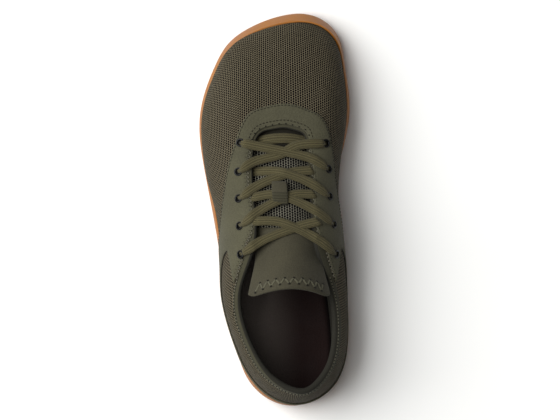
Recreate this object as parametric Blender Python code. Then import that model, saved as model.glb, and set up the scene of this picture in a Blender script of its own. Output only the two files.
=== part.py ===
"""A left minimalist sneaker with a lace front, as separate solids at real size.

Frame: +Y runs from heel to toe, +X to the medial side (big toe), +Z up, and the floor is at Z = 0.
The upper is one ring-shaped wall.  Its sections stand around the feather line, and each section is a
cubic curve from the feather edge up to the edge of the collar or throat.
"""

import math
from collections import namedtuple

import bmesh
import bpy
import numpy as np
from mathutils import Matrix

MM = 0.001

# Driving dimensions
LENGTH = 284 * MM
BALL_WIDTH = 110 * MM
HEEL_HEIGHT = 70 * MM
TOE_SPRING = 7 * MM
HEEL_BEVEL = 3 * MM
SEAT_GAP = 0.3 * MM

# Wall of the upper
WALL = 2.0 * MM
PADDING_START = 0.70
PADDING_RUN = 0.25
SIDE_LEAN = 20 * MM
STEPS_PER_SECTION = 4
LATERAL_SECTIONS = (3, 9)
MEDIAL_SECTIONS = (9, 15)
SEARCH_STEPS = 240
OUTER_STEPS = 10
INNER_STEPS = 6
LIP_STEPS = 3

# Outsole
SOLE_FLOOR = 5.0 * MM
SPRING_START = 62 * MM
BEVEL_START = -112 * MM
RIM_TOP = 2.2 * MM
RIM_STEPS = 5
RIM_LIMIT = 0.5
TREAD_INSET = 4.5 * MM
EDGE_RISE = 1.6 * MM
EDGE_INSET = 1.4 * MM
SIDE_RISE = 5.0 * MM
SIDE_SWELL = 0.6 * MM
COLUMNS = 4

# Tread
GROOVE = 1.3 * MM
GROOVE_DEPTH = 1.2 * MM
ROW_SLOPE = 0.077
FORE_PITCH = 10.0 * MM
WAIST_PITCH = 7.8 * MM
WAIST_CENTRE = -18 * MM
WAIST_REACH = 62 * MM
ROW_MARGIN = 3.0 * MM
FIRST_ROW = -136 * MM
LAST_ROW = 134 * MM
ISLAND_DEPTH = 0.8 * MM
ISLAND_BORDER = 3.2 * MM
ISLAND_STEPS = 18
RIBS = 5
RIB_PITCH = 5.2 * MM
RIB_WIDTH = 1.6 * MM
RIB_STEPS = 9

# Insole
INSOLE = 4.0 * MM
INSOLE_EASE = 1.2 * MM

# Overlay band of eyestay, quarter and heel counter
BAND = 1.1 * MM
BAND_GAP = 0.5 * MM
BAND_STEPS = 7
BAND_TOP_LIMIT = 0.965
BAND_ABOVE_RIM = 0.02
STEEP_SECTIONS = (3, 14)

# Tongue
TONGUE = 3.2 * MM
TONGUE_STEPS = 16
TONGUE_COLUMNS = 10
TONGUE_TIP_DIP = 3.5 * MM
TONGUE_TIP_START = 0.85
TONGUE_EDGE_THINNING = 0.55

# Lace, eyelets and the loop that keeps the tongue centred
LACE_WIDTH = 6.6 * MM
LACE_THICK = 1.9 * MM
LACE_CLEAR = 0.6 * MM
LACE_STEPS = 9
LACE_SIDES = 6
EDGE_SHARE = 0.41
UNDER_EDGE = 0.60
THROAT_EDGE = 0.99
LACE_SQUARENESS = 0.7
BAR_AHEAD = 4.5 * MM
EYELET_OUTER = 3.2 * MM
EYELET_INNER = 1.9 * MM
EYELET_THICK = 0.9 * MM
EYELET_SIDES = 10
EYELET_TAPER = 0.86
LOOP_WIDTH = 11 * MM
LOOP_THICK = 1.0 * MM
LOOP_HEIGHT = 5.4 * MM
LOOP_ARCH = 0.3
LOOP_FRONT = 18.5 * MM
LOOP_BACK = -4.5 * MM
LOOP_STEPS = 8

# Sections around the shoe, from the heel along the lateral side to the toe and back on the medial side.
# along, top_along: percent of LENGTH from mid length.  across, top_across: percent of BALL_WIDTH.
# top_height, rise, drop: percent of HEEL_HEIGHT.  feather, flare, reach, pad, rim: millimetres.
# low, high: the overlay band's edges, as a share of the section curve.
Section = namedtuple(
    "Section",
    "name along across feather rise flare top_along top_across top_height reach drop pad rim low high",
)
SECTIONS = [
    Section("heel_back", -50.0, 10.9, 4.6, 31, 5.0, -46.0, 11.8, 100, 7.0, 31, 6.0, 15, 0.05, 0.44),
    Section("heel_corner_out", -45.1, -14.1, 4.6, 29, 5.0, -42.8, -6.4, 96, 7.0, 29, 6.0, 14, 0.05, 0.44),
    Section("heel_side_out", -35.2, -25.0, 5.0, 26, 7.0, -34.9, -19.1, 89, 8.0, 29, 6.0, 12, 0.05, 0.45),
    Section("quarter_out", -21.8, -31.8, 6.0, 26, 12.0, -21.8, -28.2, 86, 11.0, 26, 5.5, 10, 0.12, 0.46),
    Section("waist_out", -6.3, -38.2, 5.4, 34, 11.0, -8.8, -20.2, 105, 20.0, 20, 3.6, 9, 0.42, 0.92),
    Section("instep_out", 9.2, -45.7, 4.0, 37, 4.5, 4.2, -18.5, 91, 22.0, 13, 2.4, 9, 0.66, 0.965),
    Section("ball_out", 23.9, -49.2, 3.4, 40, 1.8, 14.1, -17.7, 82, 26.0, 7, 2.4, 10, 0.80, 0.965),
    Section("toes_out", 36.6, -39.4, 3.4, 37, 0.8, 19.2, -13.2, 79, 38.0, 6, 2.4, 11, 0.866, 0.965),
    Section("toe_corner_out", 45.1, -22.3, 3.4, 34, 0.4, 21.0, -5.9, 78, 46.0, 7, 2.4, 12, 0.89, 0.965),
    Section("toe_tip", 50.0, 15.0, 3.4, 31, 0.4, 21.5, 1.8, 78, 50.0, 9, 2.4, 13, 0.893, 0.965),
    Section("toe_corner_in", 45.5, 40.0, 3.4, 34, 0.4, 20.8, 9.5, 78, 46.0, 7, 2.4, 12, 0.887, 0.965),
    Section("toes_in", 36.6, 46.8, 3.6, 37, 0.8, 18.8, 15.9, 79, 38.0, 6, 2.4, 11, 0.858, 0.965),
    Section("ball_in", 23.9, 49.8, 4.0, 41, 1.0, 13.7, 18.6, 82, 26.0, 7, 2.4, 10, 0.785, 0.965),
    Section("instep_in", 9.2, 41.2, 5.2, 40, 4.5, 4.2, 20.5, 92, 19.0, 11, 2.4, 9, 0.64, 0.965),
    Section("waist_in", -6.3, 35.3, 7.2, 37, 19.5, -8.8, 25.0, 105, 23.0, 20, 3.6, 9, 0.42, 0.92),
    Section("quarter_in", -21.8, 40.0, 6.6, 27, 13.5, -21.8, 40.0, 87, 11.0, 26, 5.5, 10, 0.12, 0.46),
    Section("heel_side_in", -35.2, 42.7, 5.6, 26, 9.0, -35.2, 40.9, 89, 8.0, 29, 6.0, 12, 0.05, 0.45),
    Section("heel_corner_in", -45.1, 36.4, 4.8, 29, 6.0, -42.7, 29.5, 96, 7.0, 29, 6.0, 14, 0.05, 0.44),
]
RING = len(SECTIONS) * STEPS_PER_SECTION

# Tongue, from its front end under the vamp to its free end.  along and centre in millimetres from the
# origin, height to the top of its crown, half_width, and fall from the crown to the side edges.
TongueRow = namedtuple("TongueRow", "along centre height half_width fall")
TONGUE_ROWS = [
    TongueRow(70, 1.5, 46.5, 20, 5.0),
    TongueRow(52, 1.5, 53.0, 25, 9.5),
    TongueRow(30, 1.0, 59.5, 28, 14.0),
    TongueRow(8, 1.5, 65.5, 28, 14.5),
    TongueRow(-14, 2.5, 73.0, 27, 14.0),
    TongueRow(-34, 4.0, 82.0, 25, 17.5),
    TongueRow(-58, 6.0, 94.0, 28.5, 17.0),
]

# Eyelets, from the toe end up: the lateral one's place along the shoe, how far the medial one is ahead of
# it, the distance of both across, and where the lace above the pair crosses, in millimetres.
EyeletRow = namedtuple("EyeletRow", "along medial_ahead lateral medial crossing")
EYELET_ROWS = [
    EyeletRow(47.5, -0.5, -29.0, 31.5, 41.0),
    EyeletRow(26.6, 2.0, -30.5, 33.0, 25.5),
    EyeletRow(7.5, 2.0, -30.5, 33.0, 8.0),
    EyeletRow(-11.5, 1.0, -30.0, 35.5, -13.5),
    EyeletRow(-32.0, 0.0, -29.5, 37.5, None),
]

# Smooth island in the tread, half its outline on each side of its spine, in millimetres.
IslandRow = namedtuple("IslandRow", "along lateral medial")
ISLAND_ROWS = [
    IslandRow(23, -4.8, -3.8),
    IslandRow(12, -8.4, 3.5),
    IslandRow(1, -9.5, 11.4),
    IslandRow(-9, -8.7, 8.6),
    IslandRow(-20, -6.2, 7.3),
    IslandRow(-32, -0.6, 10.9),
    IslandRow(-41, 6.2, 7.4),
]

# Rib zones of the tread: centre of the arcs and outer radius, in millimetres.
RibZone = namedtuple("RibZone", "name across along radius start_deg end_deg")
RIB_ZONES = [
    RibZone("toe_ribs", -30, 140, 41, -110, -5),
    RibZone("heel_ribs", 45, -160, 58, 85, 165),
]


def ground(along):
    """Height of the tread above the floor: flat from heel to ball, raised at the toe and the heel's back."""
    along = np.asarray(along, float)
    toe = np.clip((along - SPRING_START) / (LENGTH / 2 - SPRING_START), 0, None)
    heel = np.clip((BEVEL_START - along) / (BEVEL_START + LENGTH / 2), 0, None)
    return TOE_SPRING * toe**2 + HEEL_BEVEL * heel**2


def closed_spline(values, at):
    """Smooth closed curve through the rows of values, read at the positions at, one unit for each row."""
    count = len(values)
    weights = np.zeros((count, count))
    for row in range(count):
        weights[row, row] += 4 / 6
        weights[row, (row - 1) % count] += 1 / 6
        weights[row, (row + 1) % count] += 1 / 6
    control = np.linalg.solve(weights, values)
    first = np.floor(at).astype(int)
    t = (at - first)[..., None]
    blend = [(1 - t) ** 3, 3 * t**3 - 6 * t**2 + 4, -3 * t**3 + 3 * t**2 + 3 * t + 1, t**3]
    return sum(b / 6 * control[(first + k - 1) % count] for k, b in enumerate(blend))


def open_spline(values, at):
    """Smooth curve through the rows of values, read at the positions at, from 0 to the last row."""
    values = np.asarray(values, float)
    padded = np.vstack([2 * values[0] - values[1], values, 2 * values[-1] - values[-2]])
    first = np.clip(np.floor(at).astype(int), 0, len(values) - 2)
    t = (np.asarray(at, float) - first)[..., None]
    p0, p1, p2, p3 = (padded[first + k] for k in range(4))
    return p1 + 0.5 * t * (p2 - p0 + t * (2 * p0 - 5 * p1 + 4 * p2 - p3 + t * (3 * (p1 - p2) + p3 - p0)))


def column(name):
    return np.array([getattr(section, name) for section in SECTIONS], float)


def outline_points():
    return np.stack([column("across") / 100 * BALL_WIDTH, column("along") / 100 * LENGTH], axis=1)


def outline(at):
    """Plan of the sole's edge and its outward direction at ring positions at."""
    step = 0.01
    points = outline_points()
    tangent = closed_spline(points, at + step) - closed_spline(points, at - step)
    outward = np.stack([-tangent[..., 1], tangent[..., 0]], axis=-1)
    return closed_spline(points, at), outward / np.linalg.norm(outward, axis=-1, keepdims=True)


def section_controls():
    """The four control points of each section's cubic, as columns x, y, z of feather, wall, shoulder, top."""
    edge, outward = outline(np.arange(len(SECTIONS), dtype=float))
    feather = edge - outward * column("feather")[:, None] * MM
    top = np.stack([column("top_across") / 100 * BALL_WIDTH, column("top_along") / 100 * LENGTH], axis=1)
    lean = feather - top + outward * SIDE_LEAN
    lean /= np.linalg.norm(lean, axis=1, keepdims=True)
    wall = feather + outward * column("flare")[:, None] * MM
    shoulder = top + lean * column("reach")[:, None] * MM
    feather_height = SOLE_FLOOR + SEAT_GAP + ground(feather[:, 1])
    top_height = column("top_height") / 100 * HEEL_HEIGHT
    heights = [
        feather_height,
        feather_height + column("rise") / 100 * HEEL_HEIGHT,
        top_height - column("drop") / 100 * HEEL_HEIGHT,
        top_height,
    ]
    plans = [feather, wall, shoulder, top]
    return np.stack([np.column_stack([plan, z]) for plan, z in zip(plans, heights)], axis=1)


CONTROLS = section_controls()


def wall_point(at, share):
    """Point on the outside of the upper, at ring position at and share of the way from feather to top."""
    at, share = np.broadcast_arrays(np.asarray(at, float), np.asarray(share, float))
    flat = closed_spline(CONTROLS.reshape(len(SECTIONS), 12), at).reshape(*at.shape, 4, 3)
    t = share[..., None]
    cubic = [(1 - t) ** 3, 3 * t * (1 - t) ** 2, 3 * t**2 * (1 - t), t**3]
    return sum(c * flat[..., k, :] for k, c in enumerate(cubic))


def wall_frame(at, share):
    """Outward normal of the upper's outside, and its direction towards the top edge."""
    step = 0.002
    up = wall_point(at, share + step) - wall_point(at, share - step)
    along = wall_point(at + step, share) - wall_point(at - step, share)
    normal = np.cross(up, along)
    unit = np.linalg.norm(normal, axis=-1, keepdims=True)
    return normal / unit, up / np.linalg.norm(up, axis=-1, keepdims=True)


def wall_offset(at, share, distance):
    """Point at a distance outside the upper's outer face."""
    at, share = np.broadcast_arrays(np.asarray(at, float), np.asarray(share, float))
    normal, _ = wall_frame(at, share)
    return wall_point(at, share) + normal * np.asarray(distance, float)[..., None]


def thickness(at, share):
    """Wall of the upper, which swells to the padded collar towards its top edge."""
    pad = closed_spline(column("pad")[:, None], at)[..., 0] * MM
    t = np.clip((share - PADDING_START) / PADDING_RUN, 0, 1)
    return WALL + (pad - WALL) * t * t * (3 - 2 * t)


def ring_positions():
    return np.arange(RING) / STEPS_PER_SECTION


def ring_profile(name, at):
    return closed_spline(column(name)[:, None], at)[:, 0]


def material(name, colour, roughness, metallic=0.0):
    made = bpy.data.materials.new(name)
    made.use_nodes = True
    shader = made.node_tree.nodes["Principled BSDF"]
    shader.inputs["Base Color"].default_value = (*colour, 1)
    shader.inputs["Roughness"].default_value = roughness
    shader.inputs["Metallic"].default_value = metallic
    return made


def new_object(name, bm, finish, smooth=True):
    bmesh.ops.recalc_face_normals(bm, faces=bm.faces)
    mesh = bpy.data.meshes.new(name)
    bm.to_mesh(mesh)
    bm.free()
    mesh.materials.append(finish)
    if smooth:
        mesh.shade_smooth()
        mesh.set_sharp_from_angle(angle=math.radians(40))
    made = bpy.data.objects.new(name, mesh)
    bpy.context.scene.collection.objects.link(made)
    return made


def rows_of_verts(bm, points):
    """One list of vertices for each row of points."""
    return [[bm.verts.new(tuple(p)) for p in row] for row in points]


def skin(bm, rows, ring=True, loop=True):
    """Quads between neighbouring rows, closed along the rows' order with ring and across them with loop."""
    count = len(rows)
    for i in range(count if ring else count - 1):
        near, far = rows[i], rows[(i + 1) % count]
        width = len(near)
        for k in range(width if loop else width - 1):
            bm.faces.new((near[k], near[(k + 1) % width], far[(k + 1) % width], far[k]))


def ladder(bm, ring, height_of):
    """Fills a closed ring of vertices with rungs from its lateral to its medial half."""
    half = len(ring) // 2
    rungs = [[ring[0]] * (COLUMNS + 1)]
    for i in range(1, half):
        lateral, medial = ring[i], ring[-i]
        inner = []
        for k in range(1, COLUMNS):
            spot = lateral.co.lerp(medial.co, k / COLUMNS)
            spot.z = float(height_of(spot.y))
            inner.append(bm.verts.new(spot))
        rungs.append([lateral, *inner, medial])
    rungs.append([ring[half]] * (COLUMNS + 1))
    for near, far in zip(rungs, rungs[1:]):
        for k in range(COLUMNS):
            corners = dict.fromkeys((near[k], near[k + 1], far[k + 1], far[k]))
            bm.faces.new(tuple(corners))


def tube(bm, path, sides, side_of, half_width, half_thick):
    """Closed flat tube along path, oval in section, with side_of giving its width direction at each point."""
    path = np.asarray(path)
    ahead = np.gradient(path, axis=0)
    ahead /= np.linalg.norm(ahead, axis=1, keepdims=True)
    across = np.cross(ahead, side_of)
    across /= np.linalg.norm(across, axis=1, keepdims=True)
    above = np.cross(across, ahead)
    turn = (np.arange(sides) + 0.5) / sides * 2 * math.pi
    squarish = np.sign(np.cos(turn)) * np.abs(np.cos(turn)) ** LACE_SQUARENESS
    points = [
        centre + np.outer(squarish, wide) * half_width + np.outer(np.sin(turn), tall) * half_thick
        for centre, wide, tall in zip(path, across, above)
    ]
    rows = rows_of_verts(bm, points)
    skin(bm, rows, ring=False)
    bm.faces.new(rows[0])
    bm.faces.new(rows[-1])


def add_boolean(target, tool, operation):
    """Applies one exact Boolean and removes the tool."""
    cut = target.modifiers.new(operation.lower(), "BOOLEAN")
    cut.object = tool
    cut.operation = operation
    cut.solver = "EXACT"
    graph = bpy.context.evaluated_depsgraph_get()
    done = bpy.data.meshes.new_from_object(target.evaluated_get(graph))
    target.modifiers.clear()
    target.data = done
    bpy.data.objects.remove(tool)


def build_upper(finish):
    at = ring_positions()[:, None]
    shares = np.linspace(0, 1, OUTER_STEPS + 1)[None, :]
    outer = wall_point(at, shares)
    inner_shares = np.linspace(1, 0, INNER_STEPS + 1)[None, :]
    depth = thickness(at + 0 * inner_shares, inner_shares + 0 * at)
    inner = wall_offset(at, inner_shares, -depth)
    _, up = wall_frame(at[:, 0], np.ones(RING))
    middle = (outer[:, -1] + inner[:, 0]) / 2
    reach = outer[:, -1] - middle
    radius = np.linalg.norm(reach, axis=1, keepdims=True)
    lip = []
    for k in range(1, LIP_STEPS + 1):
        turn = math.pi * k / (LIP_STEPS + 1)
        lip.append(middle + reach * math.cos(turn) + up * radius * math.sin(turn))
    points = np.concatenate([outer, np.stack(lip, axis=1), inner], axis=1)
    bm = bmesh.new()
    skin(bm, rows_of_verts(bm, points))
    return new_object("upper", bm, finish)


def band_positions():
    """Ring positions of the overlay band, closer together where its edges climb steeply."""
    at = ring_positions()
    half_step = 0.5 / STEPS_PER_SECTION
    steep = [spot + half_step for spot in at if int(spot) in STEEP_SECTIONS]
    return np.sort(np.concatenate([at, steep]))


def build_band(finish):
    """Eyestay, quarter and heel counter in one band that lies on the upper."""
    at = band_positions()
    low = np.maximum(ring_profile("low", at), rim_shares(at) + BAND_ABOVE_RIM)[:, None]
    high = np.minimum(ring_profile("high", at), BAND_TOP_LIMIT)[:, None]
    at = at[:, None]
    shares = low + (high - low) * np.linspace(0, 1, BAND_STEPS)[None, :]
    under = wall_offset(at, shares, np.full(shares.shape, BAND_GAP))
    over = wall_offset(at, shares, np.full(shares.shape, BAND_GAP + BAND))
    points = np.concatenate([over, under[:, ::-1]], axis=1)
    bm = bmesh.new()
    skin(bm, rows_of_verts(bm, points))
    return new_object("overlay_band", bm, finish)


def rim_shares(at):
    """Share of each section curve at which the sole's rim ends."""
    probe = np.linspace(0, RIM_LIMIT, SEARCH_STEPS)
    heights = wall_point(at[:, None], probe[None, :])[..., 2]
    target = heights[:, 0] + ring_profile("rim", at) * MM
    return np.array([np.interp(z, row, probe) for z, row in zip(target, heights)])


def build_sole(finish):
    at = ring_positions()
    edge, outward = outline(at)
    floor = ground(edge[:, 1])

    def ring_at(inset, rise):
        return np.column_stack([edge - outward * inset, floor + rise])

    rim = rim_shares(at)
    rim_outer = wall_offset(at, rim, np.full(RING, SEAT_GAP + RIM_TOP))
    side = ring_at(0, SIDE_RISE)
    swell = (side + rim_outer) / 2
    swell[:, :2] += outward * SIDE_SWELL
    inner = [wall_offset(at, rim * k, np.full(RING, SEAT_GAP)) for k in np.linspace(1, 0, RIM_STEPS)]
    inner[-1][:, 2] = SOLE_FLOOR + ground(inner[-1][:, 1])
    tread = ring_at(TREAD_INSET, 0)
    tread[:, 2] = ground(tread[:, 1])
    profile = [tread, ring_at(EDGE_INSET, EDGE_RISE), side, swell, rim_outer, *inner]
    bm = bmesh.new()
    rows = rows_of_verts(bm, np.stack(profile, axis=1))
    skin(bm, rows, loop=False)
    ladder(bm, [row[0] for row in rows], ground)
    ladder(bm, [row[-1] for row in rows], lambda along: SOLE_FLOOR + ground(along))
    sole = new_object("outsole", bm, finish)
    add_boolean(sole, tread_cutter(tread), "DIFFERENCE")
    return sole


def row_stations():
    """Positions along the sole of the grooves between tread rows, closer together at the waist."""
    stations = []
    along = FIRST_ROW
    while along < LAST_ROW:
        stations.append(along)
        near_waist = math.exp(-(((along - WAIST_CENTRE) / WAIST_REACH) ** 2))
        along += FORE_PITCH + (WAIST_PITCH - FORE_PITCH) * near_waist
    return stations


def inside_zone(across, along):
    return any(
        math.hypot(across - zone.across * MM, along - zone.along * MM) < zone.radius * MM + GROOVE * 2
        for zone in RIB_ZONES
    )


def row_span(along, tread):
    """Lateral and medial ends of a tread row, clear of the edge and of the rib zones."""
    half = RING // 2
    lateral = np.interp(along, tread[: half + 1, 1], tread[: half + 1, 0]) + ROW_MARGIN
    medial = np.interp(along, tread[half:, 1][::-1], tread[half:, 0][::-1]) - ROW_MARGIN
    probe = np.linspace(lateral, medial, SEARCH_STEPS)
    inside = [x for x in probe if not inside_zone(x, along + ROW_SLOPE * x)]
    return (inside[0], inside[-1]) if inside else None


def box_verts(bm, corners, low, high):
    """Prism over the corners, which run in order round a plan outline, from low to high."""
    bottom = [bm.verts.new((x, y, z + low)) for x, y, z in corners]
    top = [bm.verts.new((x, y, z + high)) for x, y, z in corners]
    skin(bm, [bottom, top], ring=False)
    bm.faces.new(bottom[::-1])
    bm.faces.new(top)


def on_ground(across, along):
    return (across, along, float(ground(along)))


def tread_cutter(tread):
    """Grooves between the rows, the island's groove and the ribs at toe and heel."""
    bm = bmesh.new()
    reach = GROOVE / 2
    for along in row_stations():
        span = row_span(along, tread)
        for start, end in split_at_island(span, along):
            corners = [(start, -reach), (end, -reach), (end, reach), (start, reach)]
            plan = [on_ground(x, along + ROW_SLOPE * x + y) for x, y in corners]
            box_verts(bm, plan, -GROOVE_DEPTH, GROOVE_DEPTH)
    for zone in RIB_ZONES:
        for rib in range(RIBS):
            add_rib_groove(bm, zone, zone.radius * MM - rib * RIB_PITCH, tread)
    lateral, medial = island_sides(0)
    box_verts(bm, [on_ground(*p) for p in [*lateral, *medial[::-1]]], -ISLAND_DEPTH, ISLAND_DEPTH)
    return new_object("tread_cutter", bm, None, smooth=False)


def island_sides(border):
    """Lateral and medial outline of the smooth island, widened by border."""
    rows = np.array([row[:] for row in ISLAND_ROWS]) * MM
    fine = open_spline(rows, np.linspace(0, len(rows) - 1, ISLAND_STEPS + 1))
    lateral = [(x - border, y) for y, x, _ in fine]
    medial = [(x + border, y) for y, _, x in fine]
    return lateral, medial


def split_at_island(span, along):
    """Stretches of a row on either side of the island and its border."""
    if span is None:
        return []
    lateral, medial = island_sides(ISLAND_BORDER)
    stations = [y for _, y in lateral]
    if not stations[-1] - ISLAND_BORDER < along < stations[0] + ISLAND_BORDER:
        return [span]
    left = np.interp(along, stations[::-1], [x for x, _ in lateral][::-1])
    right = np.interp(along, stations[::-1], [x for x, _ in medial][::-1])
    return [(span[0], left), (right, span[1])]


def add_rib_groove(bm, zone, radius, tread):
    """Arc-shaped groove of a rib zone, kept inside the tread's edge."""
    half = RING // 2
    centre = np.array([zone.across, zone.along]) * MM
    arc = []
    for turn in np.radians(np.linspace(zone.start_deg, zone.end_deg, SEARCH_STEPS)):
        spot = centre + radius * np.array([math.cos(turn), math.sin(turn)])
        lateral = np.interp(spot[1], tread[: half + 1, 1], tread[: half + 1, 0])
        medial = np.interp(spot[1], tread[half:, 1][::-1], tread[half:, 0][::-1])
        inside_length = tread[0, 1] + ROW_MARGIN < spot[1] < tread[half, 1] - ROW_MARGIN
        if inside_length and lateral + ROW_MARGIN < spot[0] < medial - ROW_MARGIN:
            arc.append(turn)
    if len(arc) < RIB_STEPS:
        return
    turns = np.linspace(arc[0], arc[-1], RIB_STEPS)
    ring = [(radius - RIB_WIDTH / 2, t) for t in turns] + [(radius + RIB_WIDTH / 2, t) for t in turns[::-1]]
    plan = [on_ground(centre[0] + r * math.cos(t), centre[1] + r * math.sin(t)) for r, t in ring]
    box_verts(bm, plan, -GROOVE_DEPTH, GROOVE_DEPTH)


def build_insole(finish):
    at = ring_positions()[::2]
    foot = wall_point(at, np.zeros(len(at)))
    _, outward = outline(at)
    plan = foot[:, :2] - outward * (WALL + INSOLE_EASE)
    base = SOLE_FLOOR + SEAT_GAP + ground(plan[:, 1])
    bottom = np.column_stack([plan, base])
    top = np.column_stack([plan, base + INSOLE])
    bm = bmesh.new()
    rows = rows_of_verts(bm, np.stack([bottom, top], axis=1))
    skin(bm, rows, loop=False)
    ladder(bm, [row[0] for row in rows], lambda along: SOLE_FLOOR + SEAT_GAP + ground(along))
    ladder(bm, [row[1] for row in rows], lambda along: SOLE_FLOOR + SEAT_GAP + INSOLE + ground(along))
    return new_object("insole", bm, finish)


def tongue_point(position, side):
    """Top of the tongue: position from 0 at its front to 1 at its free end, side from -1 to 1."""
    rows = np.array([row[:] for row in TONGUE_ROWS]) * MM
    along, centre, height, half_width, fall = open_spline(rows, position * (len(rows) - 1)).T
    tip = np.clip((position - TONGUE_TIP_START) / (1 - TONGUE_TIP_START), 0, 1) ** 2
    return np.stack(
        [
            centre + half_width * side,
            along - tip * TONGUE_TIP_DIP * side**2,
            height - fall * side**2,
        ],
        axis=-1,
    )


def tongue_frame(position, side):
    """Upward normal of the tongue's top."""
    step = 0.002
    forward = tongue_point(position - step, side) - tongue_point(position + step, side)
    across = tongue_point(position, side + step) - tongue_point(position, side - step)
    normal = np.cross(across, forward)
    return normal / np.linalg.norm(normal, axis=-1, keepdims=True)


def build_tongue(finish):
    position, side = np.meshgrid(
        np.linspace(0.001, 0.999, TONGUE_STEPS + 1), np.linspace(-1, 1, TONGUE_COLUMNS + 1), indexing="ij"
    )
    shape = position.shape
    top = tongue_point(position.ravel(), side.ravel())
    normal = tongue_frame(position.ravel(), side.ravel())
    thin = TONGUE * (1 - TONGUE_EDGE_THINNING * side.ravel() ** 4)[:, None]
    under = (top - normal * thin).reshape(*shape, 3)
    points = np.concatenate([top.reshape(*shape, 3), under[:, ::-1]], axis=1)
    bm = bmesh.new()
    rows = rows_of_verts(bm, points)
    skin(bm, rows, ring=False)
    for row in (rows[0], rows[-1]):
        for k in range(TONGUE_COLUMNS):
            bm.faces.new((row[k], row[k + 1], row[-2 - k], row[-1 - k]))
    return new_object("tongue", bm, finish)


def wall_spot(across, along):
    """Ring position and share of the point of the upper that lies over a plan position."""
    sections = LATERAL_SECTIONS if across < 0 else MEDIAL_SECTIONS
    around = np.linspace(*sections, SEARCH_STEPS)
    at, share = np.meshgrid(around, np.linspace(RIM_LIMIT, 1, SEARCH_STEPS), indexing="ij")
    points = wall_point(at, share)
    away = np.hypot(points[..., 0] - across, points[..., 1] - along)
    best = np.unravel_index(np.argmin(away), away.shape)
    return at[best], share[best]


def eyelet_seats():
    """Centre and normal of each eyelet on top of the overlay band, as {(side, number): (centre, normal)}."""
    seats = {}
    for number, row in enumerate(EYELET_ROWS):
        for side, across in (("lateral", row.lateral), ("medial", row.medial)):
            along = row.along + (row.medial_ahead if side == "medial" else 0)
            at, share = wall_spot(across * MM, along * MM)
            normal, _ = wall_frame(np.array([at]), np.array([share]))
            centre = wall_offset(np.array([at]), np.array([share]), np.array([BAND_GAP + BAND]))
            seats[side, number] = (centre[0], normal[0])
    return seats


def build_eyelet(name, centre, normal, finish):
    """Flat ring with a rounded outer edge, seated on the overlay band."""
    tilt = np.cross(normal, [0.0, 1.0, 0.0])
    tilt /= np.linalg.norm(tilt)
    other = np.cross(normal, tilt)
    turns = np.arange(EYELET_SIDES) / EYELET_SIDES * 2 * math.pi
    low, high = SEAT_GAP, SEAT_GAP + EYELET_THICK
    rounded = EYELET_OUTER * EYELET_TAPER
    section = [(EYELET_INNER, low), (EYELET_OUTER, low), (rounded, high), (EYELET_INNER, high)]
    rows = []
    bm = bmesh.new()
    for turn in turns:
        out = tilt * math.cos(turn) + other * math.sin(turn)
        rows.append([bm.verts.new(tuple(centre + out * radius + normal * z)) for radius, z in section])
    skin(bm, rows)
    return new_object(name, bm, finish)


def tongue_position(along):
    """Position on the tongue's crown at a given distance along the shoe."""
    probe = np.linspace(0, 1, SEARCH_STEPS)
    crown = tongue_point(probe, 0 * probe)[:, 1]
    return float(np.interp(-along, -crown, probe))


def tongue_seat(along, side):
    """Point on the tongue and its normal, side from -1 at the lateral edge to 1 at the medial edge."""
    position = np.array([tongue_position(along)])
    spot = np.array([side])
    return tongue_point(position, spot)[0], tongue_frame(position, spot)[0]


def edge_seat(along, side):
    """Point and normal on top of the overlay band at the throat's edge."""
    around = np.linspace(*(LATERAL_SECTIONS if side < 0 else MEDIAL_SECTIONS), SEARCH_STEPS)
    away = np.abs(wall_point(around, THROAT_EDGE)[:, 1] - along)
    at, share = np.array([around[np.argmin(away)]]), np.array([THROAT_EDGE])
    return wall_offset(at, share, np.array([BAND_GAP + BAND]))[0], wall_frame(at, share)[0][0]


def lace_strand(bm, seats, lifts):
    """Flat strand over the seats, each a point and its normal, at a lift above each of them."""
    normals = np.array([normal for _, normal in seats])
    points = np.array([point for point, _ in seats]) + normals * np.array(lifts)[:, None]
    at = np.linspace(0, len(seats) - 1, LACE_STEPS + 1)
    tube(bm, open_spline(points, at), LACE_SIDES, open_spline(normals, at), LACE_WIDTH / 2, LACE_THICK / 2)


def build_lace(finish):
    """The bottom bar and the crossings above it, each one solid."""
    eyelets = eyelet_seats()
    on_tongue = LACE_CLEAR + LACE_THICK / 2
    on_eyelet = SEAT_GAP * 2 + EYELET_THICK + on_tongue
    bar_along = EYELET_ROWS[0].along * MM + BAR_AHEAD
    bm = bmesh.new()
    bar = [tongue_seat(bar_along, side) for side in np.linspace(-UNDER_EDGE, UNDER_EDGE, 5)]
    lace_strand(bm, bar, [on_tongue] * len(bar))
    new_object("lace_bar", bm, finish)
    for number, (row, following) in enumerate(zip(EYELET_ROWS, EYELET_ROWS[1:])):
        first = number == 0
        middle = row.crossing * MM
        far_edge = middle * EDGE_SHARE + following.along * MM * (1 - EDGE_SHARE)
        near_edge = middle * EDGE_SHARE + row.along * MM * (1 - EDGE_SHARE)
        crossing = new_object(f"lace_cross_{number + 1}", bmesh.new(), finish)
        for name, far_name, side in (("lateral", "medial", -1), ("medial", "lateral", 1)):
            seats = [tongue_seat(middle, 0), edge_seat(far_edge, -side), eyelets[far_name, number + 1]]
            lifts = [on_tongue + LACE_CLEAR, on_tongue + LACE_CLEAR, on_eyelet]
            if first:
                seats = [eyelets[name, number], edge_seat(near_edge, side), *seats]
                lifts = [on_eyelet, on_tongue + LACE_CLEAR, *lifts]
            else:
                begin = [(row.along * MM, UNDER_EDGE), ((row.along * MM + middle) / 2, UNDER_EDGE / 2)]
                seats = [*(tongue_seat(along, side * share) for along, share in begin), *seats]
                lifts = [on_tongue, on_tongue + LACE_CLEAR / 2, *lifts]
            bm = bmesh.new()
            lace_strand(bm, seats, lifts)
            add_boolean(crossing, new_object("strand", bm, finish), "UNION")


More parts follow.
